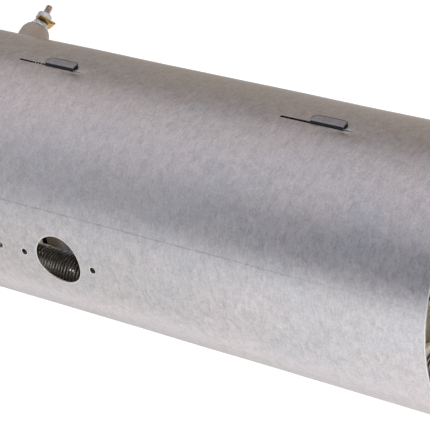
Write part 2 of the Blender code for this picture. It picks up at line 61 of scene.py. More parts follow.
# The duct's sheet.
DUCT_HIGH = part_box("duct_shell")[1]
DUCT_RADIUS = DUCT_HIGH.z
DUCT_HALF = DUCT_HIGH.x
SHEET = 0.0006
SEAM_CLOCK = -150.0
SEAM_LAP = degrees(0.010 / DUCT_RADIUS)
SEAM_JOGGLE = 3.0
WELD_SPACING = 0.036
WELD_RADIUS = 0.0024
WELD_DEPTH = 0.00018
WAVE = 0.00007  # height of the rolled sheet's slight waves
SHEET_EDGE = 0.00012  # chamfer along the cut edges of the shell and the web

# Its openings.
PORT_RADIUS = 0.0119
PORT_SCREW_RADIUS = 0.0015
PORT_SCREW_SPACING = 0.0381
SLOT_LENGTH = 0.0358
SLOT_WIDTH = 0.0014
SLOT_TAPER = 0.0095  # length over which a slot closes towards the outlet
SLOT_CLOSED = 0.00035
SLOT_X = (-0.0699, 0.0711)
SLOT_DIPS = (  # (depth, length, place across, width) of a dip at the closing end and a swell opposite
    (0.00055, 0.0065, 0.0016, 0.0024), (-0.00006, 0.0085, -0.0022, 0.0026),
)
SLOT_ROWS = (0.0014, 0.0021, 0.0028, 0.0036, 0.0045, 0.0055, 0.0066, 0.0078)  # mesh rows beside it
SLOT_MARGIN = 0.0115  # how far the finer mesh reaches past each end
TERMINAL_HOLE = 0.0046
RIM_WIDTH = 0.00055  # width of the painted highlight round each hole and along each cut end

# A scribed line along the duct and a short faint scratch, as (along, round) places on the sheet.
SCRIBE_CLOCK = 67.6
SCRIBE_HALF_WIDTH = 0.00034
SCRATCH_START = (-0.012, radians(17.0) * DUCT_RADIUS)
SCRATCH_LENGTH = 0.042
SCRATCH_SLOPE = -radians(3.0) * DUCT_RADIUS / SCRATCH_LENGTH
SCRATCH_HALF_WIDTH = 0.00028

# The centre web and its ears.
WEB_SHEET = 0.0008
WEB_X = (-0.098, 0.136)
WEB_REACH = DUCT_RADIUS - SHEET - 2 * GAP
WEB_BEND = 0.0009
EAR_OFFSET = 0.0049
EAR_LENGTH = 0.0170
EAR_REACH = 0.0050
EAR_CORNER = 0.0026
EAR_NECK = 0.0010  # how far each end is cut in at the bend
EAR_RIM = 0.0007  # width of the painted shade round an ear's edge
BROWNED = 0.017  # how far the web is browned on each side of a carrier

# The coils and their carriers.
COIL_CLOCKS = (62.0, 145.0, 242.0, 325.0)
COIL_PITCH_RADIUS = 0.043
COIL_RADIUS = 0.009
COIL_WALL = 0.0005
COIL_LOW, COIL_HIGH = (corner.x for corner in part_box("coil_1"))
COIL_START = -90.0  # where a lead leaves its coil, as an angle round the coil
LINK_TURNS = {1: 180.0, 2: 0.0, 3: 360.0, 4: 180.0}  # where each coil meets its link
LINK_BULGE = 0.0024  # how far the links' middles stand out past the coils
WIRE_RADIUS = 0.00048
TURN_PITCH = 0.00172
TURN_STRAY = 0.0006  # how far the turns wander along the coil
TURN_JITTER = 0.00016
COIL_SAG = 0.0009  # between two supports
TAIL_STEPS = 9
CARRIER_X = [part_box(f"carrier_front_{number}")[0].x for number in (1, 2, 3)]
CARRIER_SHEET = 0.0008
CARRIER_RADIUS = DUCT_RADIUS - SHEET - 0.0010
CARRIER_CORNER = 0.0015
CARRIER_FLANGE = 0.0100
CARRIER_FLANGE_HALF = 0.026
CARRIER_BEND = 0.0009
CARRIER_TURN = CARRIER_BEND * pi / 2  # length of the sheet in the bend
CARRIER_FOLD = WEB_SHEET / 2 + GAP + CARRIER_SHEET / 2 + CARRIER_BEND  # from the duct's middle plane
NOTCH_RADIUS = 0.0105
WINDOWS = ((84.0, 122.0, 0.036, 0.051), (10.0, 38.0, 0.032, 0.051))
CENTRE_WINDOW = (0.015, 0.008)
BUSHING_RADIUS = 0.0125
BUSHING_GROOVE = 0.0102
BUSHING_BORE = 0.0093
BUSHING_FLANGE = 0.0030
RIVET_HEAD = 0.0026
RIVET_HEIGHT = 0.0010
RIVET_SHANK = 0.0014
RIVET_Z = (0.018, -0.018)

# The terminals' hardware.
STUD_RADIUS = 0.00175
STUD_TIP = 0.0011  # radius at the end of the chamfer
THREAD_PITCH = 0.00079375
THREAD_DEPTH = 0.00034
CERAMIC_BORE = STUD_RADIUS + 0.00015
SPIGOT_RADIUS = 0.0041
NUT_BORE = 0.00181
NUT_FLATS = 0.00635
NUT_FACE = NUT_FLATS / 2 * 0.955  # radius at which the chamfer starts
NUT_CHAMFER = 0.00055
NUT_SINK = 0.0003
WASHER_BORE = NUT_BORE + 0.0001
TOOTH_DEPTH = 0.00055
TOOTH_TWIST = 0.00014
HOOK_ENTRY = (0.0034, 0.0055)  # where a lead comes up beside the stud, along the duct and round it
HOOK_RADIUS = 0.0029
HOOK_TURNS = (-30.0, 0.0, 35.0, 65.0)
LEAD_LEVEL = 0.0481
LEAD_STRAIGHT = 0.0030
STRAND_RADIUS = 0.00044
STRAND_OFFSET = 0.00040
STRAND_TWIST = 0.0052  # length of one twist of the two strands
TAB_ANGLE = -40.3
TAB_ALONG = (-0.0040, 0.0069)
TAB_ACROSS = (-0.0032, 0.0055)
TAB_CORNER = 0.0007
DIMPLE = (0.0050, 0.0036)
DIMPLE_RADIUS = 0.0008
DIMPLE_DEPTH = 0.00022


# Points and meshes.

def clock_point(radius, clock, x=0.0):
    """Points at a radius and a clock angle round the duct's axis."""
    turn = np.radians(clock)
    return np.stack(np.broadcast_arrays(x, -radius * np.sin(turn), radius * np.cos(turn)), -1)


def placed(name, data):
    """A new object in the scene."""
    made = bpy.data.objects.new(name, data)
    bpy.context.scene.collection.objects.link(made)
    return made


def mesh_object(name, points, faces, looks, kinds=None, sharp=32.0):
    """An object of points and faces, with its faces out.

    looks names its materials, parted by spaces, and kinds picks each face's.
    """
    mesh = bpy.data.meshes.new(name)
    mesh.from_pydata(np.asarray(points).tolist(), [], [list(map(int, face)) for face in faces])
    for look in looks.split():
        mesh.materials.append(LOOKS[look])
    if kinds is not None:
        mesh.polygons.foreach_set("material_index", np.asarray(kinds, np.int32))
    bm = bmesh.new()
    bm.from_mesh(mesh)
    bmesh.ops.recalc_face_normals(bm, faces=bm.faces)
    bm.to_mesh(mesh)
    bm.free()
    mesh.shade_smooth()
    mesh.set_sharp_from_angle(angle=radians(sharp))
    return placed(name, mesh)


def stand_for(piece, body, slot, *nodes):
    """Hands a piece to its body and hides the CAD nodes that it stands for. The slot argument is not used."""
    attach(piece, body)
    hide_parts(*nodes)


def skin(rows, close_rows=False):
    """Faces between rows of points, each row a closed ring."""
    count, around = rows.shape[:2]
    number = np.arange(count * around).reshape(count, around)
    after = np.roll(number, -1, 1)
    upper = np.roll(number, -1, 0)
    upper_after = np.roll(after, -1, 0)
    quads = np.stack((number, after, upper_after, upper), -1)
    return (quads if close_rows else quads[:-1]).reshape(-1, 4)


def arc(centre, radius, start, end, steps):
    """Points on an arc in a plane, from one angle in degrees to another."""
    turns = np.radians(np.linspace(start, end, steps + 1))
    return [(centre[0] + radius * cos(turn), centre[1] + radius * sin(turn)) for turn in turns]


def eased(corners, steps=4):
    """A closed outline of (x, y, ease) corners, each eased by a short curve that starts ease away."""
    made = []
    for number, (x, y, ease) in enumerate(corners):
        corner = np.array((x, y))
        ends = []
        for other in (corners[number - 1], corners[(number + 1) % len(corners)]):
            way = np.array(other[:2]) - corner
            length = np.linalg.norm(way)
            ends.append(corner + way * min(ease, 0.48 * length) / length)
        for t in np.linspace(0.0, 1.0, steps + 1):
            made.append((1 - t) ** 2 * ends[0] + 2 * t * (1 - t) * corner + t**2 * ends[1])
    return made


def turned(name, profile, seat, steps, looks, sharp=32.0, closed=True):
    """A turned body on a seat (origin, right, across, up).

    The profile's (radius, height) pairs are numbers, or arrays over the angles. An open profile
    is capped at both ends.
    """
    origin, right, across, up = seat
    turns = 2 * pi * np.arange(steps) / steps
    rows = np.array([
        origin
        + np.outer(radius * np.cos(turns), right)
        + np.outer(radius * np.sin(turns), across)
        + np.outer(height * np.ones(steps), up)
        for radius, height in profile
    ])
    faces = skin(rows, closed).tolist()
    if not closed:
        last = (len(rows) - 1) * steps
        faces += [list(range(steps)), list(range(last, last + steps))]
    return mesh_object(name, rows.reshape(-1, 3), faces, looks, sharp=sharp)


# The rings that dome a wire's start and end: the share of its radius, and the radii out from it.
START_DOME = ((0.3, 0.85), (0.75, 0.5))
END_DOME = ((0.75, 0.5), (0.225, 1.0))


def swept(name, route, radius, sides):
    """A round wire along a route, with domed ends."""
    route = np.asarray(route)
    ways = np.gradient(route, axis=0)
    ways /= np.linalg.norm(ways, axis=1)[:, None]
    normal = np.cross(ways[0], (0.31, 0.52, 0.79))
    normal /= np.linalg.norm(normal)
    turns = 2 * pi * np.arange(sides) / sides
    rows = []
    for spot, way in zip(route, ways):
        normal = normal - way * (normal @ way)
        normal /= np.linalg.norm(normal)
        rows.append(spot + radius * (
            np.outer(np.cos(turns), normal) + np.outer(np.sin(turns), np.cross(way, normal))
        ))
    start = [route[0] + (rows[0] - route[0]) * share - ways[0] * radius * out for share, out in START_DOME]
    end = [route[-1] + (rows[-1] - route[-1]) * share + ways[-1] * radius * out for share, out in END_DOME]
    rows = np.array(start + rows + end)
    faces = skin(rows).tolist()
    last = (len(rows) - 1) * sides
    faces += [list(range(sides)), list(range(last, last + sides))]
    return mesh_object(name, rows.reshape(-1, 3), faces, "wire", sharp=60.0)


def inside(spots, loops):
    """Which spots lie inside an odd number of loops."""
    odd = np.zeros(len(spots), bool)
    for loop in loops:
        ends = np.asarray(loop)
        for (x0, y0), (x1, y1) in zip(ends, np.roll(ends, -1, 0)):
            if y0 != y1:
                crosses = (y0 > spots[:, 1]) != (y1 > spots[:, 1])
                odd ^= crosses & (spots[:, 0] < x0 + (spots[:, 1] - y0) * (x1 - x0) / (y1 - y0))
    return odd


def filled(loops, seeds):
    """Triangles between an outline and its holes, through the seeds. Made in millimetres."""
    spots, edges = [], []
    for loop in loops:
        first, count = len(spots), len(loop)
        spots += list(loop)
        edges += [(first + k, first + (k + 1) % count) for k in range(count)]
    spots += list(seeds)
    made = delaunay_2d_cdt([Vector(spot) * 1000.0 for spot in spots], edges, [], 0, 1e-4)
    points = np.array([tuple(point) for point in made[0]]) / 1000.0
    faces = np.array([tuple(face) for face in made[2]])
    first, second, third = (points[faces[:, k]] for k in range(3))
    area = np.cross(second - first, third - first)
    return points, faces[(area > 1e-12) & inside(points[faces].mean(1), loops)]


def sheet(name, loops, seeds, shape, thickness, chamfer, looks):
    """A sheet of a flat outline with holes, given its form by shape(points, height).

    Its cut edges have a small chamfer. The looks are those of the upper side, the cut edges and
    the under side.
    """
    points, faces = filled(loops, seeds)
    edges = np.concatenate([faces[:, [0, 1]], faces[:, [1, 2]], faces[:, [2, 0]]])
    known = {tuple(edge) for edge in edges.tolist()}
    rim = np.array([edge for edge in edges.tolist() if (edge[1], edge[0]) not in known])
    way = points[rim[:, 1]] - points[rim[:, 0]]
    out = np.stack((way[:, 1], -way[:, 0]), -1) / np.linalg.norm(way, axis=1)[:, None]
    push = np.zeros_like(points)
    for column in (0, 1):
        np.add.at(push, rim[:, column], out)
    length = np.linalg.norm(push, axis=1)
    on_rim = length > 1e-9
    push[on_rim] /= np.maximum(length[on_rim] ** 2 / 2, 0.5)[:, None]
    inner = points - push * chamfer
    half = thickness / 2
    count = len(points)
    rim_spots = np.flatnonzero(on_rim)
    number = np.full(count, -1)
    number[rim_spots] = np.arange(len(rim_spots))
    edge_spots = points[rim_spots]
    everything = np.concatenate([
        shape(inner, half), shape(inner, -half),
        shape(edge_spots, half - chamfer), shape(edge_spots, -half + chamfer),
    ])
    upper, under = 2 * count, 2 * count + len(rim_spots)
    first, second = rim[:, 0], rim[:, 1]
    top = [(first, second), (upper + number[first], upper + number[second])]
    middle = [top[1], (under + number[first], under + number[second])]
    bottom = [middle[1], (count + first, count + second)]
    strips = [np.stack((a[0], a[1], b[1], b[0]), -1) for a, b in (top, middle, bottom)]
    all_faces = faces.tolist() + (faces[:, ::-1] + count).tolist() + np.concatenate(strips).tolist()
    kinds = [0] * len(faces) + [2] * len(faces) + [1] * (3 * len(rim))
    return mesh_object(name, everything, all_faces, looks, kinds)


def circle(centre, radius, steps):
    return arc(centre, radius, 0.0, 360.0 * (steps - 1) / steps, steps - 1)


def smooth_route(knots, count):
    """Points on a Catmull-Rom curve through the route's own points."""
    knots = [np.asarray(knot, float) for knot in knots]
    padded = [2 * knots[0] - knots[1], *knots, 2 * knots[-1] - knots[-2]]
    points = []
    for along in np.linspace(0.0, len(knots) - 1, count):
        span = min(int(along), len(knots) - 2)
        t = along - span
        before, start, end, after = padded[span : span + 4]
        points.append(0.5 * (
            2 * start
            + (end - before) * t
            + (2 * before - 5 * start + 4 * end - after) * t**2
            + (3 * start - before - 3 * end + after) * t**3
        ))
    return np.array(points)


# Material nodes.

class Signal:
    """A node's output. Arithmetic on it adds Math nodes to its tree."""

    def __init__(self, socket):
        self.socket = socket
        self.tree = socket.id_data

    def maths(self, operation, *others):
        return node(self.tree, "Math", dict(enumerate((self, *others))), operation=operation)

    def __add__(self, other):
        return self.maths("ADD", other)

    def __sub__(self, other):
        return self.maths("SUBTRACT", other)

    def __mul__(self, other):
        return self.maths("MULTIPLY", other)

    def __abs__(self):
        return self.maths("ABSOLUTE")


def node(tree, kind, inputs=None, output=0, **settings):
    """An output of a new node, with the node's settings and its inputs linked or set."""
    made = tree.nodes.new("ShaderNode" + kind)
    for key, value in settings.items():
        setattr(made, key, value)
    for key, value in (inputs or {}).items():
        if isinstance(value, Signal):
            tree.links.new(value.socket, made.inputs[key])
        else:
            made.inputs[key].default_value = value
    return Signal(made.outputs[output])


def noise(vector, scale, detail=3.0, distortion=0.0):
    """Noise at one scale, or at scales of its own along x, y and z."""
    if isinstance(scale, tuple):
        vector = node(vector.tree, "Mapping", {"Vector": vector, "Scale": scale}, vector_type="POINT")
        scale = 1.0
    inputs = {"Vector": vector, "Scale": scale, "Detail": detail, "Distortion": distortion}
    return node(vector.tree, "TexNoise", inputs)


def ramp(factor, stops):
    """A colour ramp of (position, grey or colour) stops."""
    made = node(factor.tree, "ValToRGB", {"Fac": factor})
    elements = made.socket.node.color_ramp.elements
    while len(elements) < len(stops):
        elements.new(0.5)
    for element, (position, value) in zip(elements, stops):
        element.position = position
        element.color = (*value, 1.0) if isinstance(value, tuple) else (value, value, value, 1.0)
    return made


def mix(factor, first, second, blend="MIX"):
    inputs = {0: factor, 6: first, 7: second}
    return node(first.tree, "Mix", inputs, 2, data_type="RGBA", blend_type=blend)


def shaded(tone, factor, stops):
    """A colour multiplied by a ramp of greys."""
    return mix(1.0, tone, ramp(factor, stops), "MULTIPLY")


def hypotenuse(first, second):
    return (first * first + second * second).maths("SQRT")


def nearest(along, places):
    """How far it is to the nearest of some places along the duct."""
    away = abs(along - places[0])
    for place in places[1:]:
        away = away.maths("MINIMUM", abs(along - place))
    return away


def line_mark(distance, half_width, strength):
    """The strength on a thin line, fading to 0 beside it, from the distance to it."""
    share = abs(distance).maths("DIVIDE", half_width).maths("MINIMUM", 1.0)
    return (share * -1.0 + 1.0) * strength


def axes_of(vector):
    """A vector's x, y and z."""
    split = node(vector.tree, "SeparateXYZ", {0: vector}).socket.node
    return [Signal(output) for output in split.outputs]


def clock_of(y, z):
    """The clock angle of a direction, in radians."""
    return (y * -1.0).maths("ARCTAN2", z)


def object_place(material):
    return node(material.node_tree, "TexCoord", output="Object")


def unrolled(material):
    """The place on the duct's sheet: metres along it, metres round it from clock 0, and radius."""
    along, y, z = axes_of(object_place(material))
    around = clock_of(y, z) * DUCT_RADIUS
    return node(along.tree, "CombineXYZ", {0: along, 1: around, 2: hypotenuse(y, z)}), along, around


def new_material(name, metallic, roughness, specular=0.5):
    made = bpy.data.materials.new(name)
    made.use_nodes = True
    sockets = made.node_tree.nodes["Principled BSDF"].inputs
    for key, value in (("Metallic", metallic), ("Roughness", roughness), ("Specular IOR Level", specular)):
        sockets[key].default_value = value
    return made


def linked(material, **signals):
    """The material, with signals linked to its shader's sockets."""
    for key, signal in signals.items():
        socket = material.node_tree.nodes["Principled BSDF"].inputs[key.replace("_", " ")]
        material.node_tree.links.new(signal.socket, socket)
    return material


def bump(height, distance):
    return node(height.tree, "Bump", {"Height": height, "Distance": distance, "Strength": 0.5})


def times(colour, share):
    """A colour brightened or darkened, by one share or one for each channel."""
    return tuple(np.minimum(1.0, np.multiply(colour, share)))


def port_holes():
    """Each port and its screw holes, as (x, radius)."""
    made = []
    for opening in frame["record"]["physics"]["openings"]:
        if opening["name"].startswith("thermostat_port"):
            x = (opening["box_m"][0][0] + opening["box_m"][1][0]) / 2
            made.append((x, PORT_RADIUS))
            made += [(x + side * PORT_SCREW_SPACING / 2, PORT_SCREW_RADIUS) for side in (-1, 1)]
    return made


def shell_marks(tone, place, along, around):
    """The shell's scribed line, its scratch, and a painted highlight, near white, along the cut edges of its ends,
    ports and screw holes.
    """
    drift = (noise(place, (30.0, 0.0, 0.0)) - 0.5) * 0.0009
    to_scribe = around - radians(SCRIBE_CLOCK) * DUCT_RADIUS + drift
    broken = ramp(noise(place, (260.0, 0.0, 0.0), 2.0), ((0.35, 0.25), (0.6, 1.0)))
    fading = ramp(along + 0.5, ((0.55, 1.0), (0.62, 0.3)))
    scribe = line_mark(to_scribe, SCRIBE_HALF_WIDTH, 0.55) * (broken * fading)
    to_scratch = around - SCRATCH_START[1] - (along - SCRATCH_START[0]) * SCRATCH_SLOPE
    on_scratch = along.maths("COMPARE", SCRATCH_START[0] + SCRATCH_LENGTH / 2, SCRATCH_LENGTH / 2)
    scratch = line_mark(to_scratch, SCRATCH_HALF_WIDTH, 0.22) * on_scratch
    tone = mix(scribe.maths("MAXIMUM", scratch), tone, (0.10, 0.10, 0.11, 1.0))
    # Painted highlight: near-white bands along the duct's cut ends and round its holes stand in for the light that
    # the cut edges catch.
    rim_highlight = line_mark(abs(along) - DUCT_HALF, RIM_WIDTH, 1.6)
    for x, radius in port_holes():
        away = hypotenuse(along - x, around - pi / 2 * DUCT_RADIUS) - radius
        rim_highlight = rim_highlight.maths("MAXIMUM", line_mark(away, RIM_WIDTH, 1.6))
    return mix(rim_highlight.maths("MINIMUM", 1.0), tone, (0.97, 0.95, 0.89, 1.0))


def web_marks(tone, _place, along, _around):
    """The web's browning beside the carriers, and painted shade, near black, in its ears' bends and round each
    ear's edge.
    """
    browned = line_mark(nearest(along, CARRIER_X), BROWNED, 4.0).maths("MINIMUM", 1.0)
    tone = mix(browned * 0.85, tone, (0.30, 0.235, 0.14, 1.0))
    _, y, z = axes_of(node(tone.tree, "TexCoord", output="Object"))
    # Painted shade: the ears' bends are darkened nearly to black, where the slot's gap and the bend lie in shadow.
    bend_shade = ramp(y * 100.0, ((0.0, 0.97), (0.02, 0.5), (0.045, 0.08), (0.1, 0.0)))
    past_end = nearest(along, [x + EAR_OFFSET for x in SLOT_X]) - (EAR_LENGTH / 2 - EAR_CORNER)
    past_tip = y - (EAR_REACH - EAR_CORNER)
    from_corner = hypotenuse(past_end.maths("MAXIMUM", 0.0), past_tip.maths("MAXIMUM", 0.0))
    # Painted shadow: a dark band round each ear's edge stands for the ear's contact shadow on the duct.
    on_rim = line_mark(from_corner - EAR_CORNER, EAR_RIM, 1.3)
    outside = abs(z).maths("GREATER_THAN", DUCT_RADIUS - SHEET)
    # Both painted shades, kept to the outside of the duct.
    painted_ear_shade = bend_shade.maths("MAXIMUM", on_rim).maths("MINIMUM", 0.97)
    return mix(painted_ear_shade * outside, tone, (0.012, 0.012, 0.014, 1.0))


def galvanised(name, colour, metallic, marks):
    """Galvanised sheet: faint cloudy patches, fine grain drawn out round the duct, satin.

    marks adds what only one sheet has to its tone.
    """
    material = new_material(name, metallic, 0.34)
    place, along, around = unrolled(material)
    clouds = noise(place, (26.0, 34.0, 0.0), 3.0, 0.6)
    mottle = noise(place, (230.0, 190.0, 0.0), 4.0, 0.8)
    streaks = noise(place, (760.0, 300.0, 0.0), 3.0, 0.6)
    grain = noise(place, (1300.0, 1000.0, 0.0), 2.0)
    cool, warm = times(colour, (0.95, 0.975, 1.0)), times(colour, (1.02, 0.995, 1.0))
    tone = ramp(clouds, ((0.30, cool), (0.50, colour), (0.70, warm)))
    tone = shaded(tone, mottle, ((0.25, 0.86), (0.5, 0.98), (0.75, 1.08)))
    tone = shaded(tone, streaks, ((0.25, 0.88), (0.75, 1.10)))
    tone = shaded(tone, grain, ((0.2, 0.84), (0.8, 1.14)))
    tone = marks(tone, place, along, around)
    rough = mix(0.5, ramp(mottle, ((0.3, 0.25), (0.7, 0.33))), ramp(streaks, ((0.3, 0.24), (0.7, 0.34))))
    return linked(material, Base_Color=tone, Roughness=rough, Normal=bump(streaks * 0.7 + mottle, 0.000035))


def heated_steel(name, cool, hot):
    """Sheet browned by the coils' heat, in drifting patches."""
    material = new_material(name, 1.0, 0.4)
    place = object_place(material)
    patches = noise(place, 38.0, 4.0, 0.8)
    fine = noise(place, 900.0)
    tone = ramp(patches, ((0.32, cool), (0.52, hot), (0.72, times(hot, 0.72))))
    tone = shaded(tone, fine, ((0.25, 0.82), (0.75, 1.12)))
    rough = ramp(fine, ((0.25, 0.34), (0.75, 0.52)))
    return linked(material, Base_Color=tone, Roughness=rough, Normal=bump(fine, 0.00003))


def ceramic(name, colour, speck, rough):
    """Unglazed steatite: matt, faintly speckled, with a soft uneven surface."""
    material = new_material(name, 0.0, rough, 0.4)
    place = object_place(material)
    cloud = noise(place, 190.0, 3.0, 0.4)
    grain = noise(place, 1500.0)
    specks = noise(place, 2600.0, 1.0)
    tone = ramp(cloud, ((0.3, times(colour, 0.90)), (0.7, times(colour, 1.07))))
    tone = shaded(tone, grain, ((0.3, 0.93), (0.7, 1.04)))
    tone = mix(ramp(specks, ((0.66, 0.0), (0.74, 0.55))), tone, (*speck, 1.0))
    uneven = ramp(grain, ((0.3, rough - 0.08), (0.7, rough + 0.08)))
    return linked(material, Base_Color=tone, Roughness=uneven, Normal=bump(grain + cloud, 0.00004))


def plated(name, colour, worn, low, high, scale=420.0):
    """Plated or bare metal hardware: patchy tone, fine handling scratches, uneven gloss."""
    material = new_material(name, 1.0, (low + high) / 2)
    place = object_place(material)
    patches = noise(place, scale, 4.0, 0.9)
    fine = noise(place, (1900.0, 700.0, 1200.0), 3.0, 0.5)
    tone = shaded(ramp(patches, ((0.34, worn), (0.55, colour))), fine, ((0.25, 0.86), (0.75, 1.08)))
    rough = ramp(patches, ((0.3, high), (0.7, low)))
    return linked(material, Base_Color=tone, Roughness=rough, Normal=bump(fine, 0.000015))


def floor_material():
    material = new_material("pale_floor", 0.0, 0.9, 0.1)
    soft = noise(object_place(material), 3.0, 2.0)
    return linked(material, Base_Color=ramp(soft, ((0.3, 0.90), (0.7, 0.92))))


LOOKS = {
    "shell": galvanised("duct_galvanised", (0.635, 0.622, 0.618), 1.0, shell_marks),
    "web": galvanised("web_galvanised", (0.42, 0.42, 0.445), 0.6, web_marks),
    "cut": plated("cut_steel", (0.80, 0.79, 0.77), (0.55, 0.53, 0.50), 0.30, 0.42),
    "inside": heated_steel("duct_inside", (0.48, 0.45, 0.40), (0.36, 0.31, 0.23)),
    "heated": heated_steel("carrier_heated", (0.42, 0.38, 0.32), (0.30, 0.25, 0.18)),
    "bushing": ceramic("bushing_steatite", (0.80, 0.73, 0.60), (0.38, 0.29, 0.20), 0.55),
    "ceramic": ceramic("terminal_steatite", (0.56, 0.485, 0.385), (0.34, 0.27, 0.19), 0.50),
    "wire": plated("nichrome", (0.50, 0.48, 0.45), (0.28, 0.25, 0.22), 0.36, 0.52, 240.0),
    "zinc": plated("bright_zinc", (0.80, 0.84, 0.87), (0.62, 0.64, 0.66), 0.20, 0.34),
    "brass": plated("stamped_brass", (0.72, 0.46, 0.13), (0.50, 0.31, 0.09), 0.24, 0.40),
    "stud": plated("stud_steel", (0.74, 0.63, 0.54), (0.50, 0.38, 0.31), 0.34, 0.50),
}


# The duct.

def seam_radius(past):
    """The sheet's middle radius at an angle past its outer cut edge: one sheet out over the lap."""
    joggle = np.clip((SEAM_LAP + SEAM_JOGGLE - past) / SEAM_JOGGLE, 0.0, 1.0)
    return DUCT_RADIUS - SHEET / 2 + SHEET * 1.03 * joggle * joggle * (3 - 2 * joggle)


def weld_x():
    count = int(DUCT_HALF / WELD_SPACING)
    return [WELD_SPACING * k for k in range(-count, count + 1)]


def slot_dip(x, arc_past):
    """How far the sheet dips beside the closing end of each slot, on the ports' side."""
    depth = np.zeros_like(x)
    for slot_x in SLOT_X:
        for clock, side in ((0.0, 1.0), (180.0, -1.0)):
            across = side * (arc_past - radians(clock - SEAM_CLOCK) * DUCT_RADIUS)
            end = x - (slot_x + SLOT_LENGTH / 2 - 0.0035)
            for deep, length, middle, width in SLOT_DIPS:
                depth += deep * np.exp(-((end / length) ** 2) - (((across - middle) / width) ** 2))
    return depth


def duct_shape(points, height):
    """The rolled sheet: (x, metres past the outer cut edge) points at a height off its middle."""
    x, arc_past = points[:, 0], points[:, 1]
    past = np.degrees(arc_past / DUCT_RADIUS)
    clock = past + SEAM_CLOCK
    turn = np.radians(clock)
    wave = np.sin(x * 62.0 + 2.0 * np.sin(turn + 0.6)) * np.cos(2 * turn + 0.8)
    wave += 0.6 * np.sin(x * 31.0 - 1.1) * np.sin(3 * turn + 1.9) + 0.4 * np.sin(x * 110.0 + 5 * turn)
    radius = seam_radius(past) + WAVE * wave - slot_dip(x, arc_past)
    for spot in weld_x():
        away = np.hypot(x - spot, arc_past - radians(SEAM_LAP / 2) * DUCT_RADIUS)
        radius -= WELD_DEPTH / (1.0 + np.exp(np.minimum((away - WELD_RADIUS) / 0.00022, 40.0)))
    return clock_point(radius + height, clock, x)


def slot_loop(x, centre):
    """A slot that stays open for most of its length and closes towards the outlet."""
    start, end = x - SLOT_LENGTH / 2, x + SLOT_LENGTH / 2
    half, closed = SLOT_WIDTH / 2, SLOT_CLOSED / 2
    open_end = end - SLOT_TAPER
    side = [(open_end, half), (open_end + SLOT_TAPER * 0.4, half * 0.55), (end - 0.0006, closed)]
    loop = [(start + 0.0005, -half)] + [(u, -v) for u, v in side] + [(end, 0.0)]
    loop += side[::-1] + [(start + 0.0005, half), (start, half * 0.4), (start, -half * 0.4)]
    return [(u, centre + v) for u, v in loop]


def duct():
    """The whole rolled sheet, with its ports, screw holes, slots and terminal holes."""
    def arc_at(clock):
        return radians((clock - SEAM_CLOCK) % 360.0) * DUCT_RADIUS

    length = radians(360.0 + SEAM_LAP) * DUCT_RADIUS
    columns = np.linspace(0.0, length, 248)
    rows = np.linspace(-DUCT_HALF, DUCT_HALF, 51)
    outline = [(-DUCT_HALF, v) for v in columns[::-1]] + [(u, 0.0) for u in rows[1:-1]]
    outline += [(DUCT_HALF, v) for v in columns] + [(u, length) for u in rows[-2:0:-1]]
    rings = [(x, arc_at(90.0), radius, 72 if radius == PORT_RADIUS else 28) for x, radius in port_holes()]
    for terminal in (1, 2):
        (x, _, _), _, _, (_, y, z) = terminal_seat(terminal)
        rings.append((x, arc_at(degrees(atan2(-y, z))), TERMINAL_HOLE, 36))
    slots = [(x, arc_at(clock)) for x in SLOT_X for clock in (0.0, 180.0)]
    loops = [outline] + [circle((x, v), radius, steps) for x, v, radius, steps in rings]
    loops += [slot_loop(x, v) for x, v in slots]

    # An even grid of points, with finer ones of their own round the openings and the welds.
    grid = np.array([(u, v) for u in rows[1:-1] for v in columns[1:-1]])
    keep = np.ones(len(grid), bool)
    finer = []
    for x, v, radius, steps in rings:
        keep &= np.hypot(grid[:, 0] - x, grid[:, 1] - v) > radius + 0.0018
        finer += circle((x, v), radius + 0.0006, steps) + circle((x, v), radius + 0.0014, steps // 2)
    end = SLOT_LENGTH / 2
    beside = [-w for w in SLOT_ROWS[::-1]] + list(SLOT_ROWS)
    for x, v in slots:
        keep &= (abs(grid[:, 0] - x) > end + 0.012) | (abs(grid[:, 1] - v) > 0.0085)
        finer += [(x + u, v + w) for u in np.arange(-end - 0.011, end + SLOT_MARGIN, 0.0011) for w in beside]
        for u in np.arange(end + 0.0008, end + SLOT_MARGIN, 0.0011):
            finer += [(x + u, v + w) for w in (-0.0007, 0.0, 0.0007)]
    weld_v = radians(SEAM_LAP / 2) * DUCT_RADIUS
    for spot in weld_x():
        keep &= np.hypot(grid[:, 0] - spot, grid[:, 1] - weld_v) > WELD_RADIUS + 0.0012
        for radius in (0.0008, 0.0016, 0.0021, 0.0024, 0.0027, 0.0032):
            finer += circle((spot, weld_v), radius, 24)
    seeds = [tuple(spot) for spot in grid[keep]] + finer
    piece = sheet("duct_sheet", loops, seeds, duct_shape, SHEET, SHEET_EDGE, "shell cut inside")
    stand_for(piece, BODY, "galvanised_sheet", "duct_shell")


# The centre web.

def web_shape(points, height):
    """The web: flat across the duct, with its ears bent over outside towards +Y."""
    x, tall = points[:, 0], points[:, 1]
    side = np.sign(tall)
    lying = DUCT_RADIUS + GAP + WEB_SHEET / 2
    straight = lying - WEB_BEND
    past = np.abs(tall) - straight
    bend = WEB_BEND * pi / 2
    turn = np.clip(past, 0.0, bend) / WEB_BEND
    reach = WEB_BEND - height
    y = np.where(past > 0, WEB_BEND - reach * np.cos(turn), height)
    z = np.where(past > 0, straight + reach * np.sin(turn), np.abs(tall))
    lean = asin(WEB_BEND / lying) + (past - bend) / lying
    flat = past > bend
    radius = lying - height
    y = np.where(flat, radius * np.sin(lean), y)
    z = np.where(flat, radius * np.cos(lean), z)
    return np.stack((x, y, side * z), -1)


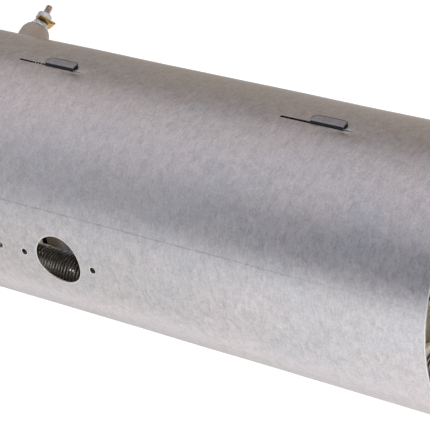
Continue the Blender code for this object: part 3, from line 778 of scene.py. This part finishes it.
def ear_rows():
    """Heights up an ear, and how far its rounded corners cut in at each."""
    straight = DUCT_RADIUS + GAP + WEB_SHEET / 2 - WEB_BEND
    bend = WEB_BEND * pi / 2
    tip = straight + bend + EAR_REACH - WEB_BEND
    shoulder = tip - EAR_CORNER
    heights = [straight + bend * k / 6 for k in range(7)]
    heights += list(np.linspace(straight + bend, shoulder, 4)[1:])
    heights += [shoulder + EAR_CORNER * sin(turn) for turn in np.radians((12, 24, 36, 48, 60, 72, 82, 90))]
    rows = []
    for height in heights:
        past = max(0.0, height - shoulder)
        near = min(1.0, max(0.0, (height - straight) / (shoulder - straight)))
        neck = EAR_NECK * (1.0 - near) ** 2
        rows.append((height, neck + EAR_CORNER - sqrt(max(0.0, EAR_CORNER**2 - past**2))))
    return rows


def web():
    rows = ear_rows()
    outline = []
    seeds = []
    for side in (1, -1):
        ends = WEB_X if side == 1 else WEB_X[::-1]
        outline.append((ends[0], side * WEB_REACH))
        for x in SLOT_X[::side]:
            middle = x + EAR_OFFSET
            first, last = middle - side * EAR_LENGTH / 2, middle + side * EAR_LENGTH / 2
            outline.append((first - side * 0.0004, side * WEB_REACH))
            outline += [(first + side * inset, side * height) for height, inset in rows]
            outline += [(last - side * inset, side * height) for height, inset in rows[::-1]]
            outline.append((last + side * 0.0004, side * WEB_REACH))
            for height, inset in rows:
                for u in np.linspace(-0.5, 0.5, 13)[1:-1] * EAR_LENGTH:
                    if abs(u) < EAR_LENGTH / 2 - inset - 0.0006 and height < rows[-1][0] - 1e-5:
                        seeds.append((middle + u, side * height))
        outline.append((ends[1], side * WEB_REACH))
    loops = [outline] + [circle(place, RIVET_SHANK + GAP, 16) for place in rivet_places()]
    piece = sheet("centre_web_sheet", loops, seeds, web_shape, WEB_SHEET, SHEET_EDGE, "web web web")
    stand_for(piece, BODY, "galvanised_sheet", "centre_web")


def rivet_places():
    return [(x + CARRIER_SHEET + CARRIER_FLANGE / 2, z) for x in CARRIER_X for z in RIVET_Z]


def rivets():
    """Dome-headed rivets through the web and the two flanges beside it."""
    seat = WEB_SHEET / 2 + CARRIER_SHEET + 2 * GAP
    half = [(RIVET_SHANK, seat)]
    for turn in np.radians((0, 15, 30, 45, 60, 75, 85)):
        half.append((RIVET_HEAD * cos(turn), seat + RIVET_HEIGHT * sin(turn)))
    profile = [(radius, -height) for radius, height in half[::-1]] + half
    for number, (x, z) in enumerate(rivet_places(), 1):
        place = (np.array((x, 0.0, z)), X_AXIS, Z_AXIS, -Y_AXIS)
        piece = turned(f"rivet_{number}", profile, place, 28, "zinc", closed=False)
        stand_for(piece, BODY, "zinc_hardware", f"carrier_rivet_{number}")


# The carriers, their bushings and the coils.

def carrier_rim(radius, start, stop, steps):
    """Points on a carrier's plate at a radius, as (metres out from the fold, z)."""
    return [(-y - CARRIER_FOLD, z) for _, y, z in clock_point(radius, np.linspace(start, stop, steps))]


def carrier_outline():
    """A half-round plate with open notches and a folding flange, and the rows across its bend."""
    reach = degrees(acos(CARRIER_FOLD / CARRIER_RADIUS))
    spread = degrees(asin(NOTCH_RADIUS / CARRIER_RADIUS))
    outline = []
    start = 90.0 - reach
    for clock in (*COIL_CLOCKS[:2], None):
        stop = 90.0 + reach if clock is None else clock - spread
        outline += carrier_rim(CARRIER_RADIUS, start, stop, max(3, int((stop - start) / 2.5)))
        if clock is not None:
            centre = carrier_rim(COIL_PITCH_RADIUS, clock, clock, 1)[0]
            outline += arc(centre, NOTCH_RADIUS, 180.0 - clock, 360.0 - clock, 24)
            start = clock + spread
    rows = [-CARRIER_TURN * k / 5 for k in range(6)]
    side, corner = CARRIER_FLANGE_HALF, CARRIER_CORNER
    end = corner - CARRIER_TURN - CARRIER_SHEET / 2 - CARRIER_FLANGE + CARRIER_BEND
    outline += [(0.0, -side - 2 * GAP)] + [(row, -side) for row in rows[1:]]
    outline += arc((end, -side + corner), corner, 270.0, 180.0, 4)
    outline += arc((end, side - corner), corner, 180.0, 90.0, 4)
    outline += [(row, side) for row in rows[:0:-1]] + [(0.0, side + 2 * GAP)]
    return outline, rows


def carriers():
    """The half-round plates, each with a flange folded along the web."""
    outline, rows = carrier_outline()
    loops = [outline]
    for first, last, low, high in WINDOWS:
        steps = max(4, int((last - first) / 4))
        corners = carrier_rim(high, first, last, steps) + carrier_rim(low, last, first, steps)
        loops.append([tuple(spot) for spot in eased([(*spot, 0.0012) for spot in corners], 2)])
    distance, size = CENTRE_WINDOW
    loops.append(circle((distance - CARRIER_FOLD, 0.0), size, 40))
    rivet_row = CARRIER_BEND - CARRIER_TURN - (CARRIER_SHEET + CARRIER_FLANGE) / 2
    loops += [circle((rivet_row, z), RIVET_SHANK + GAP, 16) for z in RIVET_Z]
    seeds = [(row, z) for row in rows for z in np.linspace(-1.0, 1.0, 15)[1:-1] * CARRIER_FLANGE_HALF]
    for number, x in enumerate(CARRIER_X, 1):
        for side, turn in (("front", 1.0), ("rear", -1.0)):
            def shape(points, height, x=x, turn=turn):
                out, z = points[:, 0], points[:, 1]
                angle = np.clip(-out / CARRIER_BEND, 0.0, pi / 2)
                reach = CARRIER_BEND - height
                past = np.maximum(0.0, -out - CARRIER_TURN)
                along = CARRIER_SHEET / 2 + CARRIER_BEND - reach * np.cos(angle) + past
                depth = np.maximum(out, 0.0) + CARRIER_FOLD - reach * np.sin(angle)
                return np.stack((x + along, -turn * depth, turn * z), -1)

            name = f"carrier_plate_{side}_{number}"
            piece = sheet(name, loops, seeds, shape, CARRIER_SHEET, 0.0001, "heated cut heated")
            stand_for(piece, BODY, "heated_sheet", f"carrier_{side}_{number}")


def bushings():
    """Ceramic spools, each flange with eased edges and a slightly flared bore."""
    slack = CARRIER_SHEET / 2 + GAP
    end = slack + BUSHING_FLANGE
    corners = [
        (BUSHING_BORE, -end, 0.0006), (BUSHING_RADIUS, -end, 0.0009), (BUSHING_RADIUS, -slack, 0.0003),
        (BUSHING_GROOVE, -slack, 0.0002), (BUSHING_GROOVE, slack, 0.0002), (BUSHING_RADIUS, slack, 0.0003),
        (BUSHING_RADIUS, end, 0.0009), (BUSHING_BORE, end, 0.0006),
    ]
    profile = eased(corners)
    for number, x in enumerate(CARRIER_X, 1):
        for coil, clock in enumerate(COIL_CLOCKS, 1):
            seat = (clock_point(COIL_PITCH_RADIUS, clock, x + CARRIER_SHEET / 2), Z_AXIS, -Y_AXIS, X_AXIS)
            piece = turned(f"spool_{number}_coil_{coil}", profile, seat, 56, "bushing", 50.0)
            stand_for(piece, BODY, "bushing_ceramic", f"bushing_{number}_coil_{coil}")


def coil_tail(number, x, turn):
    """A point on the middle of a coil's wall, at an angle about the coil's own axis."""
    centre = clock_point(COIL_PITCH_RADIUS, COIL_CLOCKS[number - 1], x)
    return centre + clock_point(COIL_RADIUS - COIL_WALL / 2, turn)


def coils():
    """The helices of resistance wire. The turns wander a little and sag between their supports."""
    radius = COIL_RADIUS - WIRE_RADIUS - 0.00003
    supports = [x + CARRIER_SHEET / 2 for x in CARRIER_X]
    for number, clock in enumerate(COIL_CLOCKS, 1):
        start_turn, end_turn = COIL_START, LINK_TURNS[number]
        low, high = COIL_LOW + 0.0008, COIL_HIGH - 0.0008
        whole = round((high - low) / TURN_PITCH - (end_turn - start_turn) / 360.0)
        sweep = 360.0 * whole + end_turn - start_turn
        share = np.linspace(0.0, 1.0, int(sweep / 360.0 * 28))
        phase = 1.7 * number
        stray = np.sin(share * 37.0 + phase) + 0.7 * np.sin(share * 83.0 + 2 * phase)
        between = np.sin(pi * share)
        x = low + (high - low) * share + TURN_STRAY * stray * between
        jitter = TURN_JITTER * np.sin(share * 900.0 + phase) * np.sin(share * 311.0) * between
        sag = np.zeros_like(x)
        for first, second in zip(supports, supports[1:]):
            part = np.clip((x - first) / (second - first), 0.0, 1.0)
            sag += COIL_SAG * np.sin(pi * part) ** 2
        turns = start_turn + sweep * share
        route = clock_point(COIL_PITCH_RADIUS, clock) + clock_point(radius, turns, x + jitter)
        route[:, 2] -= sag
        route = route[TAIL_STEPS:-TAIL_STEPS]
        t = np.linspace(0.0, 1.0, TAIL_STEPS)[:, None]
        ends = []
        for outer_x, turn, spot, way in (
            (COIL_LOW - 2 * GAP, start_turn, route[0], route[1] - route[0]),
            (COIL_HIGH + GAP, end_turn, route[-1], route[-2] - route[-1]),
        ):
            tail = coil_tail(number, outer_x, turn)
            inward = np.array((0.0028 if outer_x < 0 else -0.0028, 0.0, 0.0))
            onward = way / np.linalg.norm(way) * 0.0042
            hermite = (
                (2 * t**3 - 3 * t**2 + 1) * tail + (t**3 - 2 * t**2 + t) * inward
                + (-2 * t**3 + 3 * t**2) * spot + (t**3 - t**2) * onward
            )
            ends.append(hermite[:-1])
        route = np.concatenate([ends[0], route, ends[1][::-1]])
        piece = swept(f"coil_wire_{number}", route, WIRE_RADIUS, 8)
        stand_for(piece, BODY, "resistance_wire", f"coil_{number}")


def links():
    """The loops that join coil 1 to 2 and coil 3 to 4 at the outlet end."""
    end = COIL_HIGH + GAP
    out = X_AXIS * LINK_BULGE
    for number, (first, second) in enumerate(((1, 2), (3, 4)), 1):
        flip = 180.0 * (number - 1)
        start, finish = coil_tail(first, end, 180.0 + flip), coil_tail(second, end, flip)
        knots = [start, start + out * 0.5]
        knots += [start + (finish - start) * part + out for part in (0.12, 0.5, 0.88)]
        knots += [finish + out * 0.5, finish]
        piece = swept(f"link_wire_{number}", smooth_route(knots, 90), WIRE_RADIUS, 12)
        stand_for(piece, BODY, "resistance_wire", f"coil_link_{number}")


def beside_stud(terminal, along, across):
    """A point at the level of a terminal's hooks, given along the duct and round it from the stud."""
    foot, right, side, up = terminal_seat(terminal)
    return foot + right * along + side * across + up * LEAD_LEVEL


def leads():
    """The doubled, twisted wires from each coil's inlet end to a hook round a terminal's stud."""
    routes = (
        (1, 4, 1, ((-0.1240, 0.0345, 0.0330),)),
        (1, 1, -1, (
            (-0.1190, -0.0150, 0.0250), (-0.1245, 0.0030, 0.0270),
            (-0.1310, 0.0200, 0.0300), (-0.1369, 0.0345, 0.0330),
        )),
        (2, 3, 1, ((-0.1240, 0.0460, -0.0210),)),
        (2, 2, -1, ((-0.1195, 0.0010, -0.0300), (-0.1280, 0.0190, -0.0275), (-0.1369, 0.0400, -0.0245))),
    )
    for terminal, coil, side, middle in routes:
        arrival = -1 if terminal == 1 else 1
        knots = [coil_tail(coil, COIL_LOW - 2 * GAP, COIL_START)]
        knots += [knots[0] - X_AXIS * LEAD_STRAIGHT, *middle]
        knots.append(beside_stud(terminal, side * HOOK_ENTRY[0], arrival * HOOK_ENTRY[1]))
        for turn in HOOK_TURNS:
            along = side * HOOK_RADIUS * cos(radians(turn))
            across = -arrival * HOOK_RADIUS * sin(radians(turn))
            knots.append(beside_stud(terminal, along, across))
        route = smooth_route(knots, 40 * len(knots))
        ways = np.gradient(route, axis=0)
        steps = np.linalg.norm(ways, axis=1)
        ways /= steps[:, None]
        normal = np.cross(ways, (0.13, 0.31, 0.94))
        normal /= np.linalg.norm(normal, axis=1)[:, None]
        other = np.cross(ways, normal)
        twist = np.cumsum(steps)[:, None] * 2 * pi / STRAND_TWIST
        spread = STRAND_OFFSET * np.minimum(1.0, np.cumsum(steps)[:, None] / 0.002)
        offset = (normal * np.cos(twist) + other * np.sin(twist)) * spread
        strands = [
            swept(f"lead_strand_{terminal}_{coil}", strand, STRAND_RADIUS, 8)
            for strand in (route + offset, route - offset)
        ]
        with bpy.context.temp_override(active_object=strands[0], selected_editable_objects=strands):
            bpy.ops.object.join()
        strands[0].name = f"lead_wire_{terminal}_{coil}"
        stand_for(strands[0], BODY, "resistance_wire", f"lead_terminal_{terminal}_coil_{coil}")


# The terminals.

def terminal_seat(terminal):
    """The stud's foot on the duct's axis, with the directions along the duct, round it and out."""
    joint = next(j for j in frame["joints"] if j["name"] == f"terminal_{terminal}_tab_swivel")
    up = np.array(joint["axis"]) / np.linalg.norm(joint["axis"])
    return X_AXIS * joint["pos_m"][0], X_AXIS, np.cross(up, X_AXIS), up


def node_span(name, seat):
    """The lowest and highest point of a CAD node along a seat's axis, and its largest radius."""
    origin, _, _, up = seat
    spots = np.array([vert.co for vert in frame["nodes"][name].data.vertices]) - origin
    heights = spots @ up
    return heights.min(), heights.max(), np.linalg.norm(spots - np.outer(heights, up), axis=1).max()


def angles(steps):
    return np.degrees(2 * pi * np.arange(steps) / steps)


# A terminal part's profile is made from its two ends, its largest radius and the steps round it.

def nut_profile(low, high, radius, steps):
    """A hexagon nut with 30 degree chamfers and a countersunk bore."""
    hexagon = NUT_FLATS / 2 / np.cos(np.radians((angles(steps) + 30.0) % 60.0 - 30.0))
    rows = []
    for rise in np.array((0.0, 0.12, 0.3, 0.55, 0.8, 1.0)) * NUT_CHAMFER:
        rows.append((np.minimum(hexagon, NUT_FACE + rise / tan(radians(30.0))), rise))
    profile = [(NUT_BORE + NUT_SINK, low), (NUT_FACE * 0.97, low)]
    profile += [(out, low + rise) for out, rise in rows]
    profile += [(out, high - rise) for out, rise in rows[::-1]]
    profile += [(NUT_FACE * 0.97, high), (NUT_BORE + NUT_SINK, high)]
    profile += [(NUT_BORE, high - NUT_SINK), (NUT_BORE, low + NUT_SINK)]
    return profile


def lock_washer_profile(low, high, radius, steps):
    """A washer with twelve outward teeth, each twisted out of its plane."""
    turn = np.radians(angles(steps) * 12.0)
    tooth = np.clip(np.cos(turn) * 2.2, -1.0, 1.0)
    outer = radius - TOOTH_DEPTH * (1.0 - tooth) / 2
    twist = TOOTH_TWIST * np.sin(turn) * (np.cos(turn) > -0.3)
    root = radius - TOOTH_DEPTH - 0.0002
    middle = (low + high) / 2
    half = (high - low) / 2 * 0.8
    return [
        (WASHER_BORE, middle - half), (root, middle - half), (outer, middle - half * 0.9 + twist),
        (outer, middle + half * 0.9 + twist), (root, middle + half), (WASHER_BORE, middle + half),
    ]


def stud_profile(low, high, radius, steps):
    """A threaded stud with chamfered ends. Each row holds the thread's depth at every angle."""
    share = angles(steps) / 360.0
    profile = []
    for height in np.arange(low, high, THREAD_PITCH / 7):
        wave = np.abs(((height / THREAD_PITCH - share) % 1.0) * 2.0 - 1.0)
        thread = STUD_RADIUS - THREAD_DEPTH * np.clip(wave * 1.35 - 0.15, 0.0, 1.0)
        chamfer = STUD_TIP + 1.3 * min(height - low, high - height)
        profile.append((np.minimum(thread, chamfer), height))
    profile.append((STUD_TIP, high))
    return profile


def tab_piece(terminal, seat):
    """The stamped brass plate: eased edges and a coined dimple."""
    low, high, _ = node_span(f"terminal_{terminal}_tab", seat)
    origin, right, across, up = seat
    turn = radians(TAB_ANGLE)
    along = right * cos(turn) + across * sin(turn)
    sideways = across * cos(turn) - right * sin(turn)
    corners = [
        (TAB_ALONG[1], TAB_ACROSS[1], TAB_CORNER), (TAB_ALONG[0], TAB_ACROSS[1], TAB_CORNER),
        (TAB_ALONG[0], TAB_ACROSS[0], TAB_CORNER), (TAB_ALONG[1], TAB_ACROSS[0], TAB_CORNER),
    ]
    outline = [tuple(spot) for spot in eased(corners, 5)]
    hole = circle((0.0, 0.0), NUT_BORE + 0.0003, 32)
    seeds = [spot for radius in (0.0003, 0.0006, 0.0009, 0.0012) for spot in circle(DIMPLE, radius, 16)]
    around = circle((0.0, 0.0), 0.0028, 28) + circle((0.0, 0.0), 0.0036, 28)
    seeds += [spot for spot in around if spot[1] > -0.003]

    def shape(points, height):
        away = np.hypot(points[:, 0] - DIMPLE[0], points[:, 1] - DIMPLE[1])
        press = DIMPLE_DEPTH / (1.0 + np.exp((away - DIMPLE_RADIUS) / 0.00012))
        lift = (low + high) / 2 + height - press
        return origin + np.outer(points[:, 0], along) + np.outer(points[:, 1], sideways) + np.outer(lift, up)

    name = f"brass_tab_{terminal}"
    piece = sheet(name, [outline, hole], seeds, shape, high - low, 0.00014, "brass brass brass")
    stand_for(piece, f"terminal_{terminal}_tab", "terminal_brass", f"terminal_{terminal}_tab")


def outer_ceramic_profile(low, high, radius, steps):
    """The domed insulator, with the spigot through the duct's wall."""
    wall = DUCT_RADIUS + GAP
    return eased([
        (CERAMIC_BORE, low, 0.0002), (SPIGOT_RADIUS, low, 0.0003), (SPIGOT_RADIUS, wall, 0.0001),
        (radius, wall, 0.0003), (radius - 0.0001, wall + 0.0040, 0.0020),
        (radius - 0.0005, wall + 0.0082, 0.0014), (radius - 0.0022, high, 0.0008),
        (CERAMIC_BORE, high, 0.0003),
    ], 5)


def inner_ceramic_profile(low, high, radius, steps):
    return eased([
        (CERAMIC_BORE, low, 0.0003), (radius, low, 0.0008),
        (radius, high, 0.0004), (CERAMIC_BORE, high, 0.0002),
    ])


def ring_profile(low, high, radius, steps):
    """A stamped washer, rounder on its lower edge."""
    return eased([
        (WASHER_BORE, low, 0.0001), (radius, low, 0.0003),
        (radius, high, 0.0001), (WASHER_BORE, high, 0.0001),
    ], 3)


# Each turned part of a terminal: its node, piece, profile, steps round, look, sharp angle and slot.
TERMINAL_PARTS = (
    ("outer_ceramic", "insulator_outer", outer_ceramic_profile, 72, "ceramic", 60.0, "terminal_ceramic"),
    ("inner_ceramic", "insulator_inner", inner_ceramic_profile, 64, "ceramic", 60.0, "terminal_ceramic"),
    ("stud", "threaded_stud", stud_profile, 24, "stud", 60.0, "stud_steel"),
    ("flat_washer", "flat_ring", ring_profile, 56, "zinc", 32.0, "zinc_hardware"),
    ("inner_washer", "inner_ring", ring_profile, 56, "zinc", 32.0, "zinc_hardware"),
    ("clamp_nut", "hexagon_clamp_nut", nut_profile, 72, "zinc", 32.0, "zinc_hardware"),
    ("inner_nut", "hexagon_inner_nut", nut_profile, 72, "zinc", 32.0, "zinc_hardware"),
    ("nut", "hexagon_nut", nut_profile, 72, "zinc", 32.0, "zinc_hardware"),
    ("lock_washer", "toothed_washer", lock_washer_profile, 144, "zinc", 32.0, "zinc_hardware"),
)
MOVING_PARTS = ("nut", "lock_washer")


def terminals():
    """Both terminals. Each moving part's body has the name of its node."""
    for terminal in (1, 2):
        seat = terminal_seat(terminal)
        for part, label, profile, steps, look, sharp, slot in TERMINAL_PARTS:
            name = f"terminal_{terminal}_{part}"
            rows = profile(*node_span(name, seat), steps)
            piece = turned(f"{label}_{terminal}", rows, seat, steps, look, sharp, part != "stud")
            stand_for(piece, name if part in MOVING_PARTS else BODY, slot, name)
        tab_piece(terminal, seat)


# The studio.

CAMERA_PLACE = (0.5123, -0.5888, 0.4964)
CAMERA_FORWARD = (-0.54655, 0.63901, -0.54121)
CAMERA_RIGHT = (0.81145, 0.56387, -0.15370)
CAMERA_LENS = 175.5
FLOOR_HEIGHT = -0.70
FLOOR_SIZE = 14.0


def camera():
    data = bpy.data.cameras.new("camera")
    data.lens = CAMERA_LENS
    data.sensor_width = 36.0
    data.clip_start, data.clip_end = 0.05, 50.0
    made = placed("camera", data)
    forward = Vector(CAMERA_FORWARD).normalized()
    right = Vector(CAMERA_RIGHT)
    right = (right - forward * right.dot(forward)).normalized()
    up = right.cross(forward)
    made.matrix_world = Matrix.Translation(CAMERA_PLACE) @ Matrix((right, up, -forward)).transposed().to_4x4()
    bpy.context.scene.camera = made


def area_light(name, place, target, size, power, colour=(1.0, 1.0, 1.0), glossy=False):
    """A soft lamp that the camera does not see."""
    data = bpy.data.lights.new(name, "AREA")
    data.shape = "RECTANGLE"
    data.size, data.size_y = size
    data.energy = power
    data.color = colour
    made = placed(name, data)
    made.location = place
    made.rotation_euler = (Vector(target) - Vector(place)).to_track_quat("-Z", "Y").to_euler()
    made.visible_glossy = glossy
    made.visible_camera = False
    return made


# What surrounds the object, by clock angle: white below, pale overhead and in front, dim and warm
# behind. The first table is for rays that lean far along the duct, as those seen near the inlet do, and
# the second for those that lean less, with a dark stretch and a bright one in front. A ray's lean is
# the length of its unit vector along the duct: LEAN_FAR and more, or LEAN_LITTLE and less.
ROOM_INLET = (
    (-180, (1.06, 1.00, 1.03)), (-162, (0.78, 0.75, 0.74)), (-135, (0.68, 0.65, 0.63)),
    (-118, (0.62, 0.57, 0.53)), (-104, (0.42, 0.365, 0.325)), (-60, (0.39, 0.34, 0.31)),
    (-46, (0.42, 0.375, 0.37)), (-34, (0.64, 0.59, 0.59)), (-6, (0.74, 0.69, 0.72)),
    (22, (0.71, 0.685, 0.73)), (50, (0.63, 0.62, 0.66)), (66, (0.59, 0.58, 0.62)),
    (88, (0.74, 0.73, 0.77)), (134, (0.76, 0.745, 0.75)), (162, (0.81, 0.785, 0.78)),
    (180, (1.06, 1.00, 1.03)),
)
ROOM_OUTLET = (
    (-180, (1.14, 1.07, 1.10)), (-160, (0.88, 0.85, 0.84)), (-135, (0.82, 0.79, 0.77)),
    (-118, (0.72, 0.66, 0.60)), (-104, (0.48, 0.43, 0.38)), (-60, (0.38, 0.335, 0.31)),
    (-44, (0.35, 0.325, 0.34)), (-30, (0.57, 0.54, 0.575)), (-4, (0.70, 0.67, 0.73)),
    (24, (0.60, 0.59, 0.66)), (42, (0.22, 0.235, 0.28)), (70, (0.17, 0.185, 0.225)),
    (84, (0.80, 0.80, 0.86)), (96, (1.26, 1.26, 1.33)), (140, (1.20, 1.18, 1.22)),
    (180, (1.14, 1.07, 1.10)),
)
LEAN_FAR, LEAN_LITTLE = 0.56, 0.455


def room():
    world = bpy.data.worlds.new("studio")
    bpy.context.scene.world = world
    world.use_nodes = True
    tree = world.node_tree
    x, y, z = axes_of(node(tree, "TexCoord", output="Generated"))
    share = clock_of(y, z).maths("DIVIDE", 2 * pi) + 0.5
    far, little = (
        ramp(share, [(clock / 360.0 + 0.5, value) for clock, value in table])
        for table in (ROOM_INLET, ROOM_OUTLET)
    )
    lean = node(tree, "MapRange", {0: abs(x), 1: LEAN_FAR, 2: LEAN_LITTLE, 3: 0.0, 4: 1.0})
    seen = node(tree, "LightPath", output="Is Camera Ray")
    colour = mix(seen, mix(lean, far, little), (1.0, 1.0, 1.0, 1.0))
    background = tree.nodes["Background"]
    tree.links.new(colour.socket, background.inputs["Color"])
    background.inputs["Strength"].default_value = 1.0


def inner_lights():
    """Small lamps that carry the room's light in through the duct's mouths and ports."""
    for end, side, power in (("inlet", -1.0, 0.014), ("outlet", 1.0, 0.008)):
        place = (side * (DUCT_HALF + 0.002), 0.0, 0.0)
        area_light(f"through_{end}", place, (0.0, 0.0, 0.0), (0.08, 0.08), power, (1.0, 0.96, 0.90), True)
    for number, (x, radius) in enumerate(port_holes()[::3], 1):
        place = (x, -(DUCT_RADIUS - SHEET - 0.0008), 0.0)
        size = (1.6 * radius, 1.2 * radius)
        area_light(f"through_port_{number}", place, (x, 0.0, -0.01), size, 0.0022, (1.0, 0.97, 0.93), True)
        x -= 0.050
        place = (x, -0.013, -0.022)
        area_light(f"web_fill_{number}", place, (x, 0.0, -0.030), (0.030, 0.004), 0.0085, (0.98, 0.97, 1.0))


def studio():
    """A white room, and a pale floor with a lamp of its own far below the object."""
    half = FLOOR_SIZE / 2
    corners = [(x, y, FLOOR_HEIGHT) for x, y in ((-half, -half), (half, -half), (half, half), (-half, half))]
    mesh = bpy.data.meshes.new("floor")
    mesh.from_pydata(corners, [], [(0, 1, 2, 3)])
    mesh.materials.append(floor_material())
    floor = placed("floor", mesh)
    floor.visible_glossy = False
    room()
    overhead = area_light("overhead", (-0.3, 0.3, 2.2), (-0.3, 0.3, 0.0), (4.0, 4.0), 110.0)
    lit = bpy.data.collections.new("lit_by_overhead")
    lit.objects.link(floor)
    overhead.light_linking.receiver_collection = lit
    inner_lights()
    scene = bpy.context.scene
    scene.view_settings.view_transform = "Standard"
    scene.view_settings.look = "None"


camera()
duct()
web()
rivets()
carriers()
bushings()
coils()
links()
leads()
terminals()
studio()
